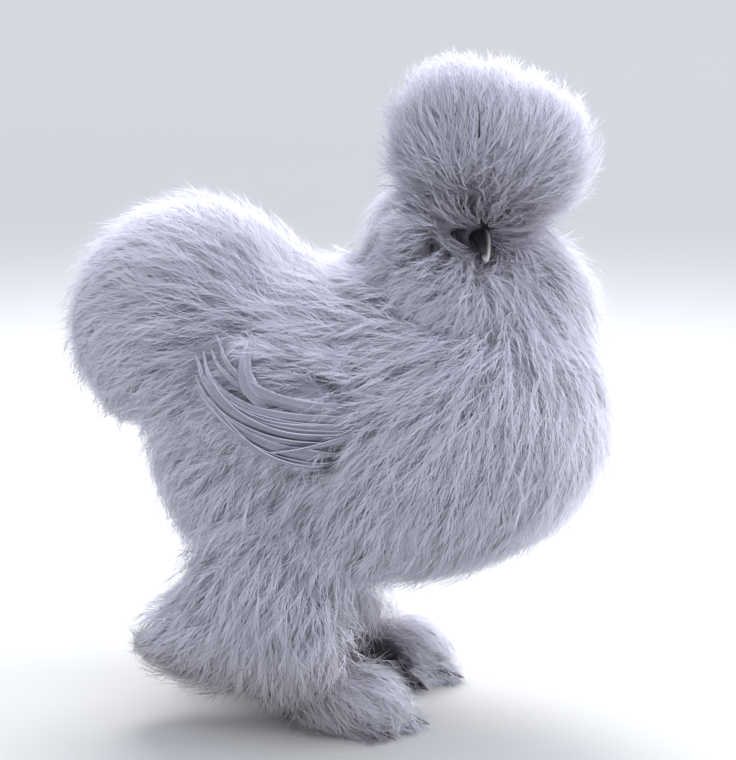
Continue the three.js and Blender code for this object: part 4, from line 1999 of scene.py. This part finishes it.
    def _fray(
        self, top: Array, way: Array, raised: Array, tone: float, cell: Array, rng: Random
    ) -> Shape:
        """Loose barbs along the edges of a blade, most of them near its tip.

        Args:
            top: the points of the blade's upper layer.
            way: the way the feather runs at each row.
            raised: the way out of the blade at each row.
            tone: how pale the feather is.
            cell: the feather's place on the bake map.
            rng: the source of chance.

        Returns:
            The barbs as one shape.
        """
        count = self.fray
        share = self.fray_from + (1.0 - self.fray_from) * rng.random(count) ** 0.6
        at = np.minimum((self.along - 1) * share, self.along - 1.01).astype(int)
        edge = rng.integers(0, self.across, count)
        start = top[at, edge]
        middle = top[at, self.across // 2]
        heading = unit(way[at] + 0.35 * rng.random((count, 1)) * unit(start - middle + 1e-6))
        heading = unit(heading + 0.12 * rng.normal(size=(count, 3)))
        path = np.stack([start, start + heading * (2.5 + 4.0 * rng.random((count, 1)))], axis=1)
        out = raised[at]
        across = unit(np.cross(heading, out))[:, None]
        widths = np.full((count, 1), self.barb_width)
        points, faces, _ = spikes(path, across, out[:, None], widths)
        tint = np.tile((1.0, tone, 0.35, 1.0), (count * 4, 1))
        spot = np.tile(cell, (count * 4, 1)) + PATCH * rng.random((count * 4, 2))
        return Shape(points.reshape(-1, 3), faces.reshape(-1, 3), {"plume": tint}, spot)

    def _on_wing(self, line: Array, height: Array) -> Array:
        """Finds the side of the bird over a line seen from the side.

        Args:
            line: places along X and Z.
            height: how far out of the plumage each lies.

        Returns:
            The places on the bird.
        """
        cover, sign = BIRD.body_cover(), self.side.value
        y = np.full(len(line), self.search_from)
        for _ in range(self.search_rounds):
            at = np.stack([line[:, 0], sign * y, line[:, 1]], axis=-1)
            y = y - (cover.distance(at) - height) * self.search_pull
        return np.stack([line[:, 0], sign * y, line[:, 1]], axis=-1)


@dataclass(frozen=True)
class Quill:
    """A bare shaft that shows in the plumage of the head."""

    name: str
    finish: HornFinish
    start: Point
    end: Point
    width: float
    bend: float = 1.0
    height: float = 1.4
    taper: float = 0.75

    def build(self) -> None:
        """Makes the shaft."""
        share = np.linspace(0.0, 1.0, 6)[:, None]
        line = np.array(self.start) * (1 - share) + np.array(self.end) * share
        cover = BIRD.face_cover().distance
        way = unit(np.array(self.end) - np.array(self.start))[None]
        out = along_surface(outward(cover, line), way)
        side = np.cross(way, out)
        line = line + side * self.bend * np.sin(math.pi * share)
        line = line + out * (self.height - cover(line))[:, None]
        width = self.width * (1.0 - self.taper * share[:-1, 0])[None]
        points, faces, _ = spikes(line[None], side[None, :-1], out[None, :-1], width)
        tip = np.linspace(0.0, 1.0, points.shape[1])
        shape = Shape(points.reshape(-1, 3), faces.reshape(-1, 3), {"tip": tip})
        make_piece(self.name, shape, self.finish)


@dataclass(frozen=True)
class HeadQuills:
    """The growing feather in the crest, still in its dark sheath, and two pale shafts by the cheek."""

    dark: HornFinish = HornFinish("sheathed_quill", light=(0.05, 0.05, 0.07, 1.0))
    pale: HornFinish = HornFinish(
        "pale_quill", dark=(0.74, 0.71, 0.72, 1.0), light=(0.9, 0.88, 0.9, 1.0)
    )

    def build(self) -> None:
        """Makes all three."""
        quills = (
            Quill("quill_crest", self.dark, (61.1, -54.6, 285.5), (59.4, -50.2, 302.6), 0.9, 0.4, 0.8),
            Quill("quill_cheek_upper", self.pale, (25.2, -45.0, 239.6), (22.4, -44.2, 235.0), 0.7),
            Quill("quill_cheek_lower", self.pale, (28.9, -47.6, 226.5), (22.9, -45.0, 221.0), 0.7),
        )
        for quill in quills:
            quill.build()


# Horn, comb and eyes


def lathe(rings: Array, name: str, tip: Array) -> Shape:
    """A closed tube through rings of points, with both ends drawn to a point.

    Args:
        rings: the points, by ring and then round it.
        name: what the value that the points carry is called.
        tip: that value for each ring, or for each of its points.

    Returns:
        The tube's shape, of three-cornered faces.
    """
    count, around = rings.shape[:2]
    points = np.concatenate([rings.reshape(-1, 3), [rings[0].mean(0)], [rings[-1].mean(0)]])
    faces = []
    for i in range(count - 1):
        for j in range(around):
            a, b = i * around + j, i * around + (j + 1) % around
            faces += [(a, b, b + around), (a, b + around, a + around)]
    first, last, end = count * around, count * around + 1, (count - 1) * around
    for j in range(around):
        faces += [(first, (j + 1) % around, j), (last, end + j, end + (j + 1) % around)]
    tip = np.broadcast_to(tip if tip.ndim == 2 else tip[:, None], (count, around))
    value = np.concatenate([tip.reshape(-1), [tip[0].mean(), tip[-1].mean()]])
    return Shape(points, np.array(faces), {name: value})


def ball(around: int, edge: float) -> tuple[Array, Array]:
    """The rings of a ball of radius one about the Z axis, and the angle of each from its top.

    Args:
        around: how many rings there are, and points in each.
        edge: how near the ends the first and last ring lie, as an angle.

    Returns:
        The points by ring, and the angles.
    """
    polar = np.linspace(edge, math.pi - edge, around)
    angle = round_turn(around)
    x = np.sin(polar)[:, None] * np.cos(angle)[None]
    y = np.sin(polar)[:, None] * np.sin(angle)[None]
    return np.stack([x, y, np.broadcast_to(np.cos(polar)[:, None], x.shape)], axis=-1), polar


def round_turn(count: int) -> Array:
    """Angles at even steps once round."""
    return np.linspace(0, 2 * math.pi, count, endpoint=False)


@dataclass
class Beak:
    """The closed beak: a hooked upper half with nostrils over a shorter lower half."""

    length: float = 18.0
    half_width: float = 6.0
    depth: float = 6.5
    droop: float = 6.0
    seat: float = 6.0
    jaw_length: float = 15.0
    jaw_depth: float = 4.0
    gap: float = 0.15
    sections: int = 48
    around: int = 40
    nostril: Point = (4.5, 3.3, 2.4)
    nostril_size: Point = (1.7, 1.0, 0.75)
    nostril_depth: float = 1.1
    culmen_highlight: float = 0.7
    tip_paleness: float = 0.9

    def build(self) -> None:
        """Makes both halves."""
        halves = (
            ("beak_upper", self.length, self.depth, 1.0),
            ("beak_lower", self.jaw_length, self.jaw_depth, -1.0),
        )
        for name, *sizes in halves:
            make_piece(f"{name}_horn", self._half(*sizes), HornFinish("slate_beak"), (name,))

    def _gape(self, ahead: Array) -> Array:
        """How far the line of the gape has drooped, by the distance ahead of the root."""
        return self.droop * np.maximum(ahead / self.length, 0) ** 2.4

    def _half(self, length: float, depth: float, side: float) -> Shape:
        """Makes one half of the beak as a row of sections from the face to the tip.

        Args:
            length: how far it reaches ahead of the face.
            depth: how high its root is.
            side: 1 for the upper half and -1 for the lower.

        Returns:
            The half's shape on the bird.
        """
        root = BIRD.beak_root
        along = 1.0 - (1.0 - np.linspace(0, 1, self.sections)) ** 1.6
        ahead = along * (length + self.seat) - self.seat
        thin = np.sqrt(np.maximum(1 - along**2.2, 0)) * (1 - 0.1 * along) + 0.05
        angle = round_turn(self.around)
        across = np.cos(angle)[None] * self.half_width * thin[:, None]
        ridge = np.maximum(np.sin(angle), 0)[None] ** 0.85
        pinch = 1 - 0.42 * ridge**2
        height = depth * thin[:, None] * ridge + self.gap
        x = root[0] + np.broadcast_to(ahead[:, None], across.shape)
        z = root[2] - self.depth - self._gape(ahead)[:, None] + height * side
        rings = np.stack([x, across * pinch, z], axis=-1)
        if side > 0:
            hole = np.array([root[0], 0.0, root[2] - self.depth]) + self.nostril
            for sign in (-1.0, 1.0):
                gap = (rings - hole * (1, sign, 1)) / self.nostril_size
                dent = np.exp(-np.sum(gap**2, axis=-1))[..., None]
                rings = rings - dent * np.array([0, sign * self.nostril_depth, 0.2])
        # A pale streak along the ridge of the upper half: a painted highlight.
        culmen_highlight = self.culmen_highlight * np.exp(-((np.cos(angle) / 0.3) ** 2))[None] * (side > 0)
        highlight_streak = culmen_highlight * eased(along, 0.2, 0.4)[:, None]
        tip = np.maximum(eased(along, 0.93, 1.0)[:, None] * self.tip_paleness, highlight_streak)
        return lathe(rings if side > 0 else rings[:, ::-1], "tip", tip).from_head()


@dataclass
class Claws:
    """The claws of one foot: horn that tapers and curves down."""

    side: Side
    length: float = 8.0
    drop: float = 1.4
    slim: float = 0.62
    seat: float = 2.0
    sections: int = 18
    around: int = 16
    paleness: float = 0.5

    def build(self) -> None:
        """Makes every claw of the foot."""
        foot = Foot(self.side)
        for toe in foot.toes:
            name = f"claw_{toe.name}_{self.side.word}"
            make_piece(f"{name}_horn", self._claw(foot, toe), HornFinish("slate_claw"), (name,))

    def _claw(self, foot: Foot, toe: Toe) -> Shape:
        """Makes one claw at the end of its toe.

        Args:
            foot: the foot.
            toe: the toe.

        Returns:
            The claw's shape on the bird.
        """
        along = np.linspace(0, 1, self.sections)
        radius = foot.toe_radius * foot.toe_taper * self.slim * (1 - along**1.5) + 0.05
        angle = round_turn(self.around)
        way = foot.toe_way(toe)
        side = unit(np.cross([0.0, 0.0, 1.0], way))
        up = np.cross(way, side)
        start = foot.place() + (0, 0, foot.toe_height(toe))
        reach = toe.length + foot.toe_radius * foot.toe_taper - self.seat
        middle = start + way * (reach + along * self.length)[:, None]
        middle = middle - np.array([0, 0, self.drop]) * (along**2)[:, None]
        rings = middle[:, None] + radius[:, None, None] * (
            np.cos(angle)[None, :, None] * side * 0.8 + np.sin(angle)[None, :, None] * up
        )
        rings[..., 2] = np.maximum(rings[..., 2], 0.05)
        return lathe(rings, "tip", eased(along, 0.3, 1.0) * self.paleness)


@dataclass
class Comb:
    """The walnut comb: a small lobe with rows of rounded bumps."""

    centre: Point = (17.5, 0, 7.5)
    radii: Point = (4.8, 4.2, 3.4)
    dip: float = 20.0
    bumps: float = 0.5
    around: int = 40

    def build(self) -> None:
        """Makes the comb."""
        out, _ = ball(self.around, 0.02)
        points = out * self.radii
        x, y = points[..., 0], points[..., 1]
        swell = np.sin(x * 2.1) * np.cos(y * 2.0) + 0.5 * np.sin(x * 4.3 + y * 3.1)
        points = points + out * (self.bumps * swell)[..., None]
        rings = Placement(self.centre, dip=self.dip).on_bird(points)
        shape = lathe(rings[:, ::-1], "tip", np.zeros(self.around)).from_head()
        make_piece("walnut_comb", shape, CombFinish(), ("comb",))


@dataclass
class Eye:
    """One eyeball, black and wet, with its pupil and iris."""

    side: Side
    pupil: float = 0.45
    blur: float = 0.05
    around: int = 48

    def build(self) -> None:
        """Makes the eyeball."""
        points, polar = ball(self.around, 0.01)
        aside = np.array((1, self.side.value, 1))
        rings = points[..., [0, 2, 1]] * aside * BIRD.eye_radius + np.array(BIRD.eye) * aside
        edge = eased(np.sin(polar), self.pupil - self.blur, self.pupil + self.blur)
        shape = lathe(rings, "iris", np.where(polar < math.pi / 2, edge, 1.0)).from_head()
        shape = replace(shape, faces=shape.faces[:, :: self.side.value])
        make_piece(f"eyeball_{self.side.word}", shape, EyeFinish(), (f"eye_{self.side.word}",))


# The stage


@dataclass
class Stage:
    """The floor, the lights and the camera."""

    azimuth: float = 12.0
    elevation: float = 11.0
    distance: float = 0.83
    focal_px: float = 1700.0
    frame_height_px: float = 760.0
    target: Point = (0.01376, 0.0, 0.165)
    floor_size: float = 120.0
    light_way: Point = (0.55, 0.35, 0.76)
    horizon: tuple = (0.675, 0.69, 0.738, 1.0)
    shade: tuple = (0.71, 0.73, 0.81, 1.0)
    glow: tuple = (1.60, 1.68, 1.86, 1.0)
    glow_span: Pair = (-0.2, 1.0)
    haze_span: Pair = (0.02, 0.3)

    def build(self) -> None:
        """Makes everything that the bird is shown with."""
        self._floor()
        self._world()
        self._light("key", (1.0, 0.4, 0.36), 0.5, 7.5, (1.0, 1.0, 0.99))
        self._light("back", (-0.25, 0.75, 1.25), 0.7, 21.0, (0.98, 0.99, 1.0))
        self._camera()

    def _floor(self) -> None:
        """A wide flat floor."""
        half = self.floor_size / 2
        corners = [(x * half, y * half, 0) for x, y in ((-1, -1), (1, -1), (1, 1), (-1, 1))]
        mesh = bpy.data.meshes.new("floor")
        mesh.from_pydata(corners, [], [(0, 1, 2, 3)])
        floor = linked("floor", mesh)
        floor.data.materials.append(FloorFinish().material())

    def _world(self) -> None:
        """A pale sky, brighter on one side, that meets the floor in the same tone."""
        world = bpy.data.worlds.new("studio")
        world.use_nodes = True
        tree = world.node_tree
        way = added(tree, "ShaderNodeTexCoord").outputs["Generated"]
        towards = {0: way, 1: self.light_way}
        near = added(tree, "ShaderNodeVectorMath", towards, operation="DOT_PRODUCT").outputs["Value"]
        up = added(tree, "ShaderNodeSeparateXYZ", {0: way}).outputs["Z"]
        side = mapped(tree, near, self.glow_span, (0.0, 1.0))
        high = mapped(tree, up, self.haze_span, (0.0, 1.0))
        sky = mixed(tree, high, self.horizon, mixed(tree, side, self.shade, self.glow))
        feed(tree, tree.nodes["Background"], {"Color": sky})
        bpy.context.scene.view_settings.view_transform = "Standard"
        bpy.context.scene.world = world

    def _light(self, name: str, place: Point, size: float, power: float, colour: Point) -> None:
        """A soft square light that looks at the bird.

        Args:
            name: the light's name.
            place: where it hangs, in metres.
            size: how wide it is, in metres.
            power: its power in watts.
            colour: its colour.
        """
        lamp = bpy.data.lights.new(name, "AREA")
        lamp.energy = power
        lamp.size = size
        lamp.color = colour
        self._aimed(name, lamp, Vector(place), Vector(self.target) - Vector(place))

    def _camera(self) -> None:
        """The photograph's point of view."""
        camera = bpy.data.cameras.new("camera")
        camera.sensor_width = 36.0
        camera.lens = self.focal_px / self.frame_height_px * camera.sensor_width
        camera.clip_start = 0.02
        a, e = math.radians(self.azimuth), math.radians(self.elevation)
        back = Vector((math.sin(a) * math.cos(e), -math.cos(a) * math.cos(e), math.sin(e)))
        place = Vector(self.target) + back * self.distance
        bpy.context.scene.camera = self._aimed("camera", camera, place, -back)

    @staticmethod
    def _aimed(name: str, data: bpy.types.ID, place: Vector, way: Vector) -> bpy.types.Object:
        """A new light or camera at a place, which looks one way.

        Args:
            name: its name.
            data: the light or the camera.
            place: where it stands, in metres.
            way: the way it looks.

        Returns:
            The new object.
        """
        thing = linked(name, data)
        thing.location = place
        thing.rotation_euler = way.to_track_quat("-Z", "Y").to_euler()
        return thing


def main() -> None:
    """Builds the stage and the bird, piece by piece."""
    logging.basicConfig(level=logging.INFO, format="%(message)s")
    Stage().build()
    skin = Skin()
    shape = skin.build()
    Beak().build()
    Comb().build()
    for side in Side:
        Eye(side).build()
        Claws(side).build()
        Wing(side).build()
    HeadQuills().build()
    Coat(skin, shape).build()


if __name__ == "__main__":
    main()
